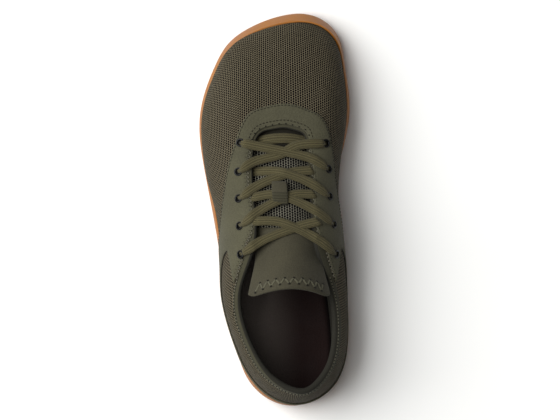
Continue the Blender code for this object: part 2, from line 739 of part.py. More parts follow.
def build_loop(finish):
    """Webbing loop on the tongue that the third crossing runs under."""
    half = LOOP_WIDTH / 2 / (TONGUE_ROWS[3].half_width * MM)
    rows = []
    bm = bmesh.new()
    for share in np.linspace(0, 1, LOOP_STEPS + 1):
        arch = SEAT_GAP + (LOOP_HEIGHT - SEAT_GAP) * math.sin(math.pi * share) ** LOOP_ARCH
        along = LOOP_FRONT + (LOOP_BACK - LOOP_FRONT) * share
        under = [(side, arch) for side in (-half, 0, half)]
        section = [*under, *((side, lift + LOOP_THICK) for side, lift in under[::-1])]
        row = []
        for side, lift in section:
            point, normal = tongue_seat(along, side)
            row.append(bm.verts.new(tuple(point + normal * lift)))
        rows.append(row)
    skin(bm, rows, ring=False)
    bm.faces.new(rows[0])
    bm.faces.new(rows[-1])
    return new_object("lace_loop", bm, finish)


def centre_on_origin():
    """Moves the whole shoe so that the middle of its bounding box stands over the origin."""
    corners = np.array([v.co for thing in bpy.data.objects for v in thing.data.vertices])
    low, high = corners.min(axis=0), corners.max(axis=0)
    shift = Matrix.Translation((-(low[0] + high[0]) / 2, -(low[1] + high[1]) / 2, -low[2]))
    for thing in bpy.data.objects:
        thing.data.transform(shift)


def clear_scene():
    for thing in list(bpy.data.objects):
        bpy.data.objects.remove(thing)


def main():
    clear_scene()
    mesh_cloth = material("olive_mesh", (0.085, 0.078, 0.048), 0.85)
    nubuck = material("olive_nubuck", (0.095, 0.092, 0.062), 0.8)
    gum = material("gum_rubber", (0.62, 0.22, 0.06), 0.45)
    footbed = material("dark_footbed", (0.012, 0.010, 0.010), 0.9)
    cord = material("olive_cord", (0.085, 0.080, 0.040), 0.8)
    metal = material("black_metal", (0.02, 0.02, 0.02), 0.3, 0.8)
    build_sole(gum)
    build_insole(footbed)
    build_upper(mesh_cloth)
    build_band(nubuck)
    build_tongue(nubuck)
    for (side, number), (centre, normal) in eyelet_seats().items():
        build_eyelet(f"eyelet_{side}_{number + 1}", centre, normal, metal)
    build_lace(cord)
    build_loop(cord)
    centre_on_origin()


main()
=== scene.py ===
"""Looks of a left minimalist sneaker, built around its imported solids.

The shoe stands in the frame of its solids: +Y from heel to toe, +X to the medial side, +Z up.  Most of its
pieces lie on one ring-shaped surface, the last.  A spot on it has a ring position, which runs from the heel
along the lateral side to the toe and back on the medial side, and a share, from 0 at the feather edge to 1
at the edge of the collar or throat.
"""

import logging
import math
from collections.abc import Callable, Sequence
from dataclasses import dataclass, field
from enum import Enum
from typing import NamedTuple

import bmesh
import bpy
import numpy as np
from bmesh.types import BMesh, BMVert
from bpy.types import Material, Mesh, Node, NodeSocket, NodeTree, Object
from mathutils import Matrix, Vector
from mathutils.bvhtree import BVHTree
from mathutils.kdtree import KDTree


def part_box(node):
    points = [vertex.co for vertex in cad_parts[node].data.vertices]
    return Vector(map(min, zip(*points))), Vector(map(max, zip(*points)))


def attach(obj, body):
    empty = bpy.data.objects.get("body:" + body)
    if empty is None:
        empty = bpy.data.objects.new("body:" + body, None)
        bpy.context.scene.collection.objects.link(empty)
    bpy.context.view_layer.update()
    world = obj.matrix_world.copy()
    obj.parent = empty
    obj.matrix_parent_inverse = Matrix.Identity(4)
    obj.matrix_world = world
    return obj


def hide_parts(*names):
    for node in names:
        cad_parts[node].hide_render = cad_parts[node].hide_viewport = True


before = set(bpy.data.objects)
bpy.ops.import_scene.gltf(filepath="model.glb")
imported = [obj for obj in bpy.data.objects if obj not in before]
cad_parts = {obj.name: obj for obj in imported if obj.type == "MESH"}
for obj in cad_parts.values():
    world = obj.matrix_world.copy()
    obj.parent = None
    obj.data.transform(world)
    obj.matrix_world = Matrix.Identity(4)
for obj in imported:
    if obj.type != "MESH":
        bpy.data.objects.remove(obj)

LOG = logging.getLogger("sneaker")

Array = np.ndarray
Colour = tuple[float, float, float]
Place = Callable[[Array, Array], Array]
Sockets = bpy.types.bpy_prop_collection
Span = tuple[float, float]
Drawing = tuple[NodeSocket, NodeSocket | None]

MM = 0.001
BODY = "root"
GRID_UV = "grid"
CLOTH_UV = "cloth"
MERGE = 2e-6
CORD_SQUARENESS = 0.7


class Side(Enum):
    """Side of the shoe, by the sign of X."""

    LATERAL = -1
    MEDIAL = 1

    @property
    def label(self) -> str:
        """Side's name as it stands in the names of the solids."""
        return self.name.lower()

    @property
    def other(self) -> "Side":
        """The opposite side."""
        return Side(-self.value)


class Section(NamedTuple):
    """Section of the upper: places in percent of the shoe's sizes, the rest in millimetres or shares."""

    name: str
    along: float
    across: float
    feather: float
    rise: float
    flare: float
    top_along: float
    top_across: float
    top_height: float
    reach: float
    drop: float
    pad: float
    rim: float
    low: float
    high: float


SECTIONS = (
    Section("heel_back", -50.0, 10.9, 4.6, 31, 5.0, -46.0, 11.8, 100, 7.0, 31, 4.4, 15, 0.05, 0.44),
    Section("heel_corner_out", -45.1, -14.1, 4.6, 29, 4.5, -42.8, -7.2, 96, 8.5, 21, 4.4, 14, 0.05, 0.42),
    Section("heel_side_out", -35.2, -25.0, 5.0, 26, 6.0, -34.9, -21.0, 89, 10.5, 14, 4.2, 12, 0.05, 0.41),
    Section("quarter_out", -21.8, -31.8, 6.0, 26, 11.0, -21.8, -29.3, 86, 13.5, 16, 4.0, 10, 0.12, 0.43),
    Section("waist_out", -6.3, -38.2, 5.4, 34, 11.0, -8.8, -20.8, 105, 20.0, 20, 3.6, 9, 0.42, 0.92),
    Section("instep_out", 9.2, -45.7, 4.0, 37, 4.5, 4.2, -20.0, 91, 22.0, 13, 2.4, 9, 0.652, 0.965),
    Section("ball_out", 23.9, -49.2, 3.4, 40, 1.8, 14.1, -19.5, 82, 26.0, 7, 2.4, 10, 0.81, 0.972),
    Section("toes_out", 36.6, -39.4, 3.4, 37, 0.8, 19.1, -14.9, 79, 38.0, 6, 2.4, 11, 0.86, 0.99),
    Section("toe_corner_out", 45.1, -22.3, 3.4, 34, 0.4, 20.4, -6.6, 78, 46.0, 7, 2.4, 12, 0.878, 0.99),
    Section("toe_tip", 50.0, 15.0, 3.4, 31, 0.4, 20.8, 1.8, 78, 50.0, 9, 2.4, 13, 0.885, 0.99),
    Section("toe_corner_in", 45.5, 40.0, 3.4, 34, 0.4, 20.2, 9.5, 78, 46.0, 7, 2.4, 12, 0.876, 0.99),
    Section("toes_in", 36.6, 46.8, 3.6, 37, 0.8, 18.7, 15.9, 79, 38.0, 6, 2.4, 11, 0.835, 0.99),
    Section("ball_in", 23.9, 49.8, 4.0, 41, 1.0, 13.7, 17.2, 82, 26.0, 7, 2.4, 10, 0.708, 0.972),
    Section("instep_in", 9.2, 41.2, 5.2, 40, 9.0, 4.2, 18.7, 92, 20.0, 11, 2.4, 9, 0.56, 0.965),
    Section("waist_in", -6.3, 35.3, 7.2, 37, 22.0, -8.8, 21.9, 105, 24.0, 20, 3.6, 9, 0.42, 0.92),
    Section("quarter_in", -21.8, 40.0, 6.6, 27, 16.5, -21.8, 34.0, 87, 16.0, 26, 4.2, 10, 0.12, 0.46),
    Section("heel_side_in", -35.2, 42.7, 5.6, 26, 12.0, -35.2, 35.0, 89, 13.0, 29, 4.6, 12, 0.05, 0.45),
    Section("heel_corner_in", -45.1, 36.4, 4.8, 29, 8.0, -42.7, 26.0, 96, 9.5, 29, 4.6, 14, 0.05, 0.44),
)
RING = len(SECTIONS)


class TongueRow(NamedTuple):
    """Cross-section of the tongue, in millimetres."""

    along: float
    centre: float
    height: float
    half_width: float
    fall: float


TONGUE_ROWS = (
    TongueRow(70, 1.5, 46.5, 20, 5.0),
    TongueRow(52, 1.5, 53.0, 25, 9.5),
    TongueRow(30, 1.0, 59.5, 28, 14.0),
    TongueRow(8, 1.5, 65.5, 28, 14.5),
    TongueRow(-14, 3.0, 73.0, 26, 14.0),
    TongueRow(-34, 3.8, 82.0, 24.0, 16.5),
    TongueRow(-54.8, 3.3, 94.0, 29.5, 17.0),
)


class EyeletRow(NamedTuple):
    """Pair of eyelets, in millimetres: the medial one stands ahead of the lateral one by medial_ahead."""

    along: float
    medial_ahead: float
    lateral: float
    medial: float


EYELET_ROWS = (
    EyeletRow(47.5, -0.5, -29.0, 31.5),
    EyeletRow(26.6, 2.0, -30.5, 33.0),
    EyeletRow(7.5, 2.0, -30.5, 33.0),
    EyeletRow(-11.5, 1.0, -30.0, 35.5),
    EyeletRow(-32.0, 0.0, -29.5, 37.5),
)


class Strand(NamedTuple):
    """Lace from one side to the next eyelet of the other, in millimetres between its two ends.

    enter is the plan distance from the middle line where it comes out from under the throat's edge, or, in
    the first row, where it bends on its way from the eyelet; turn_across and turn_along give the spot where
    it leaves its straight run and heads for the next eyelet.
    """

    row: int
    start: Side
    on_top: bool
    enter: float
    enter_along: float
    turn_across: float
    turn_along: float


STRANDS = (
    Strand(0, Side.LATERAL, True, 16.0, 44.8, 2.0, 41.2),
    Strand(0, Side.MEDIAL, False, 12.0, 45.8, -2.5, 38.8),
    Strand(1, Side.LATERAL, True, 21.0, 27.2, -1.5, 26.8),
    Strand(1, Side.MEDIAL, False, 21.0, 28.0, 5.0, 26.0),
    Strand(2, Side.LATERAL, True, 21.0, 9.0, -3.0, 10.5),
    Strand(2, Side.MEDIAL, False, 22.0, 11.0, 5.0, 10.0),
    Strand(3, Side.LATERAL, True, 20.5, -8.0, -2.0, -9.0),
    Strand(3, Side.MEDIAL, False, 24.0, -8.5, 8.0, -12.5),
)


class RibZone(NamedTuple):
    """Zone of curved ribs in the tread: the middle of its arcs and its outer radius, in millimetres."""

    across: float
    along: float
    radius: float
    start_deg: float
    end_deg: float


RIB_ZONES = (RibZone(-30, 140, 41, -110, -5), RibZone(45, -160, 58, 85, 165))


class IslandRow(NamedTuple):
    """Station of the smooth island in the tread, in millimetres."""

    along: float
    lateral: float
    medial: float


ISLAND_ROWS = (
    IslandRow(23, -4.8, -3.8),
    IslandRow(12, -8.4, 3.5),
    IslandRow(1, -9.5, 11.4),
    IslandRow(-9, -8.7, 8.6),
    IslandRow(-20, -6.2, 7.3),
    IslandRow(-32, -0.6, 10.9),
    IslandRow(-41, 6.2, 7.4),
)


def unit(vectors: Array) -> Array:
    """Vectors scaled to length one along their last axis."""
    return vectors / np.linalg.norm(vectors, axis=-1, keepdims=True)


def ramp(value: Array, low: float, high: float) -> Array:
    """Straight rise from 0 at low to 1 at high."""
    return np.clip((value - low) / (high - low), 0, 1)


def smoothstep(value: Array, low: float, high: float) -> Array:
    """Smooth rise from 0 at low to 1 at high."""
    t = ramp(value, low, high)
    return t * t * (3 - 2 * t)


def bump(value: Array, middle: float, reach: float) -> Array:
    """Soft bell of height one around middle."""
    return np.exp(-(((value - middle) / reach) ** 2))


def signed_power(value: Array, power: float) -> Array:
    """Power of a value's size, with the value's sign."""
    return np.sign(value) * np.abs(value) ** power


def step_of(share: Array, count: int) -> Array:
    """Number of the grid step at a share of a count of steps."""
    return np.rint(share * count).astype(int)


def folded(at: Array) -> Array:
    """Ring position counted from the heel on either side."""
    return np.minimum(at % RING, RING - at % RING)


def ring_positions(count: int) -> Array:
    """Ring positions at an even pitch round the shoe."""
    return np.arange(count) * RING / count


def closed_spline(values: Array, at: Array) -> Array:
    """Smooth closed curve through rows of values.

    Args:
        values: One row for each unit of position.
        at: Positions to read, in rows.

    Returns:
        The values at those positions, with a last axis as long as a row.
    """
    count = len(values)
    weights = np.zeros((count, count))
    for row in range(count):
        weights[row, row] += 4 / 6
        weights[row, (row - 1) % count] += 1 / 6
        weights[row, (row + 1) % count] += 1 / 6
    control = np.linalg.solve(weights, values)
    first = np.floor(at).astype(int)
    t = (at - first)[..., None]
    blend = ((1 - t) ** 3, 3 * t**3 - 6 * t**2 + 4, -3 * t**3 + 3 * t**2 + 3 * t + 1, t**3)
    return sum(b / 6 * control[(first + k - 1) % count] for k, b in enumerate(blend))


def open_spline(values: Array, at: Array) -> Array:
    """Smooth curve through rows of values.

    Args:
        values: One row for each unit of position.
        at: Positions to read, from 0 to the last row.

    Returns:
        The values at those positions.
    """
    values = np.asarray(values, float)
    padded = np.vstack([2 * values[0] - values[1], values, 2 * values[-1] - values[-2]])
    first = np.clip(np.floor(at).astype(int), 0, len(values) - 2)
    t = (np.asarray(at, float) - first)[..., None]
    p0, p1, p2, p3 = (padded[first + k] for k in range(4))
    return p1 + 0.5 * t * (p2 - p0 + t * (2 * p0 - 5 * p1 + 4 * p2 - p3 + t * (3 * (p1 - p2) + p3 - p0)))


def even_path(points: Array, pitch: float) -> Array:
    """Points at an even pitch along a polyline.

    Args:
        points: Corners of the polyline, with anything that goes along with them after the third column.
        pitch: Wanted distance between points.

    Returns:
        The spaced points, with both ends of the polyline among them.
    """
    run = np.concatenate([[0], np.cumsum(np.linalg.norm(np.diff(points[:, :3], axis=0), axis=1))])
    count = max(2, int(round(run[-1] / pitch)) + 1)
    wanted = np.linspace(0, run[-1], count)
    return np.stack([np.interp(wanted, run, points[:, k]) for k in range(points.shape[1])], axis=1)


def taut(run: Array, heights: Array) -> Array:
    """Heights of a cord pulled tight over bumps.

    Args:
        run: Distance along the cord.
        heights: Heights that the cord must not go below.

    Returns:
        The cord's heights.
    """
    hull: list[tuple[float, float]] = []
    for x, z in zip(run, heights):
        while len(hull) > 1:
            (x0, z0), (x1, z1) = hull[-2:]
            if (x1 - x0) * (z - z0) < (z1 - z0) * (x - x0):
                break
            hull.pop()
        hull.append((x, z))
    corners = np.array(hull)
    return np.interp(run, corners[:, 0], corners[:, 1])


def soften(values: Array, width: int) -> Array:
    """Values smoothed along a run of neighbours."""
    kernel = np.hanning(width + 2)[1:-1]
    return np.convolve(np.pad(values, width // 2, mode="edge"), kernel / kernel.sum(), mode="valid")


def add_grid(bm: BMesh, columns: int, rows: int, place: Place) -> list[BMVert]:
    """Adds a grid of quads whose corners go where place puts them.

    Args:
        bm: Mesh to add to.
        columns: Quads along the first grid coordinate.
        rows: Quads along the second grid coordinate.
        place: Gives the points for two arrays of grid coordinates from 0 to 1.

    Returns:
        The new vertices.
    """
    layer = bm.loops.layers.uv.get(GRID_UV) or bm.loops.layers.uv.new(GRID_UV)
    verts = bmesh.ops.create_grid(bm, x_segments=columns, y_segments=rows, size=1)["verts"]
    spots = np.array([v.co[:2] for v in verts]) / 2 + 0.5
    spots[:, 0] = np.rint(spots[:, 0] * columns) / columns
    spots[:, 1] = np.rint(spots[:, 1] * rows) / rows
    for vert, spot in zip(verts, spots.tolist()):
        for loop in vert.link_loops:
            loop[layer].uv = spot
    for vert, point in zip(verts, place(spots[:, 0], spots[:, 1]).tolist()):
        vert.co = point
    return verts


def merge(bm: BMesh, recalculate: bool = True) -> BMesh:
    """Merges coinciding vertices and turns the faces of closed shells outwards.

    Args:
        bm: Mesh to clean.
        recalculate: False where the faces already point the right way.

    Returns:
        The same mesh.
    """
    bmesh.ops.remove_doubles(bm, verts=bm.verts[:], dist=MERGE)
    bmesh.ops.dissolve_degenerate(bm, dist=MERGE, edges=bm.edges[:])
    if recalculate:
        bmesh.ops.recalc_face_normals(bm, faces=bm.faces[:])
    return bm


def add_ring(bm: BMesh, loops: Sequence[Array], closed: bool = False) -> None:
    """Skins a stack of closed loops of points.

    Args:
        bm: Mesh to add to.
        loops: Loops with the same number of points each.
        closed: True to join the last loop to the first.
    """
    stack = np.stack([*loops, loops[0]] if closed else list(loops), axis=1)
    around, rows = stack.shape[0], stack.shape[1] - 1

    def place(u: Array, w: Array) -> Array:
        """Point of the stack for grid coordinates."""
        return stack[step_of(u, around) % around, step_of(w, rows)]

    add_grid(bm, around, rows, place)


def add_cap(bm: BMesh, loop: Array, columns: int, shape: Place) -> None:
    """Fills a closed loop with rungs from its lateral to its medial half.

    Args:
        bm: Mesh to add to.
        loop: Even number of points round the loop, from the heel along the lateral side.
        columns: Quads in each rung.
        shape: Gives the points' heights from their plan positions and their shares across the rung.
    """
    half = len(loop) // 2

    def place(u: Array, w: Array) -> Array:
        """Point of the rung for grid coordinates."""
        rung = step_of(w, half)
        lateral, medial = loop[rung], loop[-rung]
        points = lateral + (medial - lateral) * u[:, None]
        inside = (u > 0) & (u < 1) & (rung > 0) & (rung < half)
        points[inside, 2] = shape(points[inside, :2], u[inside])
        return points

    add_grid(bm, columns, half, place)


def close_ends(bm: BMesh, sides: int) -> None:
    """Fills the open ends of tubes that have at most so many sides."""
    bmesh.ops.holes_fill(bm, edges=[edge for edge in bm.edges if edge.is_boundary], sides=sides)


def add_tube(
    bm: BMesh, path: Array, above: Array, half_width: Array, half_thick: Array, sides: int
) -> None:
    """Adds a flat cord along a path, closed at both ends.

    Args:
        bm: Mesh to add to.
        path: Points along the middle of the cord.
        above: Direction away from what the cord lies on, at each point.
        half_width: Half the cord's width at each point.
        half_thick: Half the cord's thickness at each point.
        sides: Faces round the cord.
    """
    ahead = unit(np.gradient(path, axis=0))
    across = unit(np.cross(ahead, above))
    upright = np.cross(across, ahead)
    last = len(path) - 1

    def place(u: Array, w: Array) -> Array:
        """Point on the cord's skin for grid coordinates."""
        k = step_of(w, last)
        turn = u * math.tau
        wide = signed_power(np.cos(turn), CORD_SQUARENESS) * half_width[k]
        tall = np.sin(turn) * half_thick[k]
        return path[k] + across[k] * wide[:, None] + upright[k] * tall[:, None]

    verts = add_grid(bm, sides, last, place)
    bmesh.ops.remove_doubles(bm, verts=verts, dist=MERGE)
    close_ends(bm, sides)


def make_sleeve(columns: int, rows: int, place: Place) -> BMesh:
    """Makes a tube with filled ends.

    Args:
        columns: Quads round the tube.
        rows: Quads along it.
        place: Gives the points for two arrays of grid coordinates from 0 to 1.

    Returns:
        The tube's mesh.
    """
    bm = bmesh.new()
    add_grid(bm, columns, rows, place)
    merge(bm)
    close_ends(bm, 2 * columns)
    bmesh.ops.recalc_face_normals(bm, faces=bm.faces[:])
    return bm


def frame_matrix(centre: Array, ahead: Array, above: Array) -> Matrix:
    """Matrix with X ahead, Z above and its origin at centre."""
    z_axis = Vector(above).normalized()
    y_axis = z_axis.cross(Vector(ahead)).normalized()
    x_axis = y_axis.cross(z_axis)
    return Matrix.Translation(Vector(centre)) @ Matrix((x_axis, y_axis, z_axis)).transposed().to_4x4()


def make_object(name: str, bm: BMesh, finishes: Sequence[Material]) -> Object:
    """Turns a bmesh into a smooth-shaded object.

    Args:
        name: Name of the piece.
        bm: Its mesh, which is used up.
        finishes: Its materials.

    Returns:
        The new object.
    """
    mesh = bpy.data.meshes.new(name)
    bm.to_mesh(mesh)
    bm.free()
    for finish in finishes:
        mesh.materials.append(finish)
    mesh.shade_smooth()
    made = bpy.data.objects.new(name, mesh)
    bpy.context.scene.collection.objects.link(made)
    return made


def settle(piece: Object, nodes: Sequence[str] = ()) -> Object:
    """Fixes a piece to the shoe's body.

    Args:
        piece: Finished object.
        nodes: Solids that the piece stands for.

    Returns:
        The same object.
    """
    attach(piece, BODY)
    if nodes:
        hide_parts(*nodes)
    stands_for = ", ".join(nodes) or "no solid"
    LOG.info("%s: %d faces, stands for %s", piece.name, len(piece.data.polygons), stands_for)
    return piece


def grid_spots(mesh: Mesh) -> Array:
    """Grid coordinates at each face corner of a mesh."""
    values = np.zeros(len(mesh.loops) * 2, np.float32)
    mesh.uv_layers[GRID_UV].uv.foreach_get("vector", values)
    return values.reshape(-1, 2).astype(float)


def lay_cloth(mesh: Mesh, spread: Place) -> None:
    """Writes the cloth map of a mesh, in millimetres along and across the cloth.

    Args:
        mesh: Mesh with a grid map.
        spread: Gives the cloth's places from the grid coordinates and the points of the face corners.
    """
    corner = np.zeros(len(mesh.loops), np.int32)
    mesh.loops.foreach_get("vertex_index", corner)
    points = np.zeros(len(mesh.vertices) * 3, np.float32)
    mesh.vertices.foreach_get("co", points)
    places = spread(grid_spots(mesh), points.reshape(-1, 3)[corner].astype(float))
    layer = mesh.uv_layers.new(name=CLOTH_UV)
    layer.uv.foreach_set("vector", places.astype(np.float32).ravel())


def paint_zones(mesh: Mesh, zone_of: Place) -> None:
    """Gives each face the finish of its zone.

    Args:
        mesh: Mesh with a grid map.
        zone_of: Gives the finish's number from the grid coordinates and the middles of the faces.
    """
    spots = grid_spots(mesh)
    starts = np.array([face.loop_start for face in mesh.polygons])
    sizes = np.array([face.loop_total for face in mesh.polygons])
    middles = np.add.reduceat(spots, starts, axis=0) / sizes[:, None]
    points = np.array([face.center for face in mesh.polygons])
    mesh.polygons.foreach_set("material_index", zone_of(middles, points).astype(np.int32))


@dataclass
class Last:
    """Ring surface of the upper, and the ground line of the sole under it."""

    length: float = 284 * MM
    ball_width: float = 110 * MM
    heel_height: float = 70 * MM
    toe_spring: float = 7 * MM
    heel_bevel: float = 3 * MM
    spring_start: float = 62 * MM
    bevel_start: float = -112 * MM
    sole_floor: float = 5 * MM
    seat_gap: float = 0.3 * MM
    side_lean: float = 20 * MM
    wall: float = 2 * MM
    padding_start: float = 0.70
    padding_run: float = 0.25
    search_steps: int = 240
    rim_limit: float = 0.5
    puff: float = 0.9 * MM
    puff_lateral: float = 2.6 * MM
    puff_sections: Span = (4.15, 5.1)
    heel_puff: float = 1.2 * MM
    heel_puff_start: Span = (1.1, 1.9)
    heel_puff_end: Span = (2.9, 3.6)
    puff_rise: float = 0.07
    puff_toe: float = 0.35
    puff_fade: float = 0.3
    puff_end: float = 0.66
    solid_steps: int = 72
    solid_rows: int = 11
    rim_steps: int = 20
    lateral_sections: Span = (3, 9)
    medial_sections: Span = (9, 15)
    shift: Array = field(init=False)
    controls: Array = field(init=False)
    rim_table: Array = field(init=False)

    def __post_init__(self) -> None:
        """Works out the sections and moves the surface to where the upper's solid stands."""
        self.shift = np.zeros(3)
        self.controls = self._section_controls()
        around = ring_positions(self.solid_steps)[:, None]
        outer = self.plain_point(around, np.linspace(0, 1, self.solid_rows)).reshape(-1, 3)
        low, high = (np.array(corner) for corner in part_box("upper"))
        self.shift = (low + high - outer.min(axis=0) - outer.max(axis=0)) / 2
        self.shift[2] = 0
        probe = np.linspace(0, self.rim_limit, self.search_steps)
        around = np.arange(RING * self.rim_steps + 1) / self.rim_steps
        heights = self.plain_point(around[:, None], probe[None, :])[..., 2]
        target = heights[:, 0] + self.profile("rim", around) * MM
        self.rim_table = np.array([np.interp(z, row, probe) for z, row in zip(target, heights)])

    def column(self, name: str) -> Array:
        """Column of the section table."""
        return np.array([getattr(section, name) for section in SECTIONS], float)

    def profile(self, name: str, at: Array) -> Array:
        """Column of the section table, read smoothly at ring positions."""
        return closed_spline(self.column(name)[:, None], at)[..., 0]

    def ground(self, along: Array) -> Array:
        """Height of the tread above the floor."""
        along = np.asarray(along, float) - self.shift[1]
        toe = np.clip((along - self.spring_start) / (self.length / 2 - self.spring_start), 0, None)
        heel = np.clip((self.bevel_start - along) / (self.bevel_start + self.length / 2), 0, None)
        return self.toe_spring * toe**2 + self.heel_bevel * heel**2

    def grounded(self, plan: Array, rise: Array | float) -> Array:
        """Points at a rise above the tread over plan positions."""
        return np.column_stack([plan, self.ground(plan[:, 1]) + rise])

    def level(self, rise: float) -> Place:
        """Shape of a cap that follows the tread at a rise above it."""
        return lambda plan, _share: self.ground(plan[:, 1]) + rise

    def outline(self, at: Array) -> tuple[Array, Array]:
        """Plan of the sole's edge.

        Args:
            at: Ring positions.

        Returns:
            The edge's points and its outward directions.
        """
        plan = [self.column("across") / 100 * self.ball_width, self.column("along") / 100 * self.length]
        points = np.stack(plan, axis=1)
        step = 0.01
        tangent = closed_spline(points, at + step) - closed_spline(points, at - step)
        outward = unit(np.stack([-tangent[..., 1], tangent[..., 0]], axis=-1))
        return closed_spline(points, at) + self.shift[:2], outward

    def _section_controls(self) -> Array:
        """Four control points of each section's curve: feather, wall, shoulder and top."""
        edge, outward = self.outline(np.arange(RING, dtype=float))
        feather = edge - outward * self.column("feather")[:, None] * MM
        top_across = self.column("top_across") / 100 * self.ball_width
        top = np.stack([top_across, self.column("top_along") / 100 * self.length], axis=1)
        lean = unit(feather - top + outward * self.side_lean)
        wall = feather + outward * self.column("flare")[:, None] * MM
        shoulder = top + lean * self.column("reach")[:, None] * MM
        foot = self.sole_floor + self.seat_gap + self.ground(feather[:, 1])
        crest = self.column("top_height") / 100 * self.heel_height
        bulge = foot + self.column("rise") / 100 * self.heel_height
        bend = crest - self.column("drop") / 100 * self.heel_height
        pairs = ((feather, foot), (wall, bulge), (shoulder, bend), (top, crest))
        return np.stack([np.column_stack(pair) for pair in pairs], axis=1)

    def plain_point(self, at: Array, share: Array) -> Array:
        """Point on the outside of the upper's solid."""
        at, share = np.broadcast_arrays(np.asarray(at, float), np.asarray(share, float))
        corners = closed_spline(self.controls.reshape(RING, 12), at).reshape(*at.shape, 4, 3)
        t = share[..., None]
        cubic = ((1 - t) ** 3, 3 * t * (1 - t) ** 2, 3 * t**2 * (1 - t), t**3)
        return sum(c * corners[..., k, :] for k, c in enumerate(cubic)) + self.shift

    def point(self, at: Array, share: Array) -> Array:
        """Point on the outside of the upper, which puffs out a little over the sole's rim.

        Args:
            at: Ring positions.
            share: Shares from the feather edge to the top edge.

        Returns:
            The points.
        """
        at, share = np.broadcast_arrays(np.asarray(at, float), np.asarray(share, float))
        _, outward = self.outline(at)
        above = smoothstep(share - self.rim_share(at), 0, self.puff_rise)
        swell = above * (1 - smoothstep(share, self.puff_fade, self.puff_end))
        position = at % RING
        front = smoothstep(folded(at), *self.puff_sections)
        heel = smoothstep(position, *self.heel_puff_start) * (1 - smoothstep(position, *self.heel_puff_end))
        lateral = np.clip(self.puff_toe - outward[..., 0], 0, 1)
        depth = ((self.puff + self.puff_lateral * lateral) * front + self.heel_puff * heel) * swell
        points = self.plain_point(at, share)
        points[..., :2] += outward * depth[..., None]
        return points

    def directions(self, at: Array, share: Array) -> tuple[Array, Array]:
        """Outward normal of the outside, and its direction towards the top edge."""
        step = 0.002
        up = self.point(at, share + step) - self.point(at, share - step)
        along = self.point(at + step, share) - self.point(at - step, share)
        return unit(np.cross(up, along)), unit(up)

    def offset(self, at: Array, share: Array, distance: Array | float) -> Array:
        """Point at a distance outside the upper's outer face."""
        at, share = np.broadcast_arrays(np.asarray(at, float), np.asarray(share, float))
        normal, _ = self.directions(at, share)
        return self.point(at, share) + normal * np.broadcast_to(distance, at.shape)[..., None]

    def thickness(self, at: Array, share: Array) -> Array:
        """Wall of the upper, which swells to the padded collar at its top."""
        pad = self.profile("pad", at) * MM
        end = self.padding_start + self.padding_run
        return self.wall + (pad - self.wall) * smoothstep(share, self.padding_start, end)

    def edge_distance(self, at: Array, share: Array) -> Array:
        """Distance of a spot from the edge of the collar or throat."""
        return np.linalg.norm(self.point(at, np.ones_like(share)) - self.point(at, share), axis=-1)

    def pace(self, at: Array, share: Array) -> Array:
        """Length of the section's curve for one unit of share."""
        step = 0.004
        run = self.point(at, share + step) - self.point(at, share - step)
        return np.linalg.norm(run, axis=-1) / (2 * step)

    def rim_share(self, at: Array) -> Array:
        """Share at which the sole's rim ends."""
        return np.interp(at % RING, np.arange(len(self.rim_table)) / self.rim_steps, self.rim_table)

    def spot(self, across: float, along: float) -> tuple[Array, Array]:
        """Finds the spot of the surface over a plan position.

        Args:
            across: Place across the shoe, whose sign gives the side.
            along: Place along the shoe.

        Returns:
            The spot's ring position and share.
        """
        sections = self.lateral_sections if across < 0 else self.medial_sections
        shares = np.linspace(self.rim_limit, 1, self.search_steps)
        at, share = np.meshgrid(np.linspace(*sections, self.search_steps), shares, indexing="ij")
        points = self.point(at, share)
        away = np.hypot(points[..., 0] - across, points[..., 1] - along)
        best = np.unravel_index(np.argmin(away), away.shape)
        return np.array([at[best]]), np.array([share[best]])


def linear(red: int, green: int, blue: int) -> Colour:
    """Linear colour for shader sockets from the 0 to 255 values of a screen colour."""
    shares = np.array([red, green, blue]) / 255
    return tuple(np.where(shares <= 0.04045, shares / 12.92, ((shares + 0.055) / 1.055) ** 2.4).tolist())


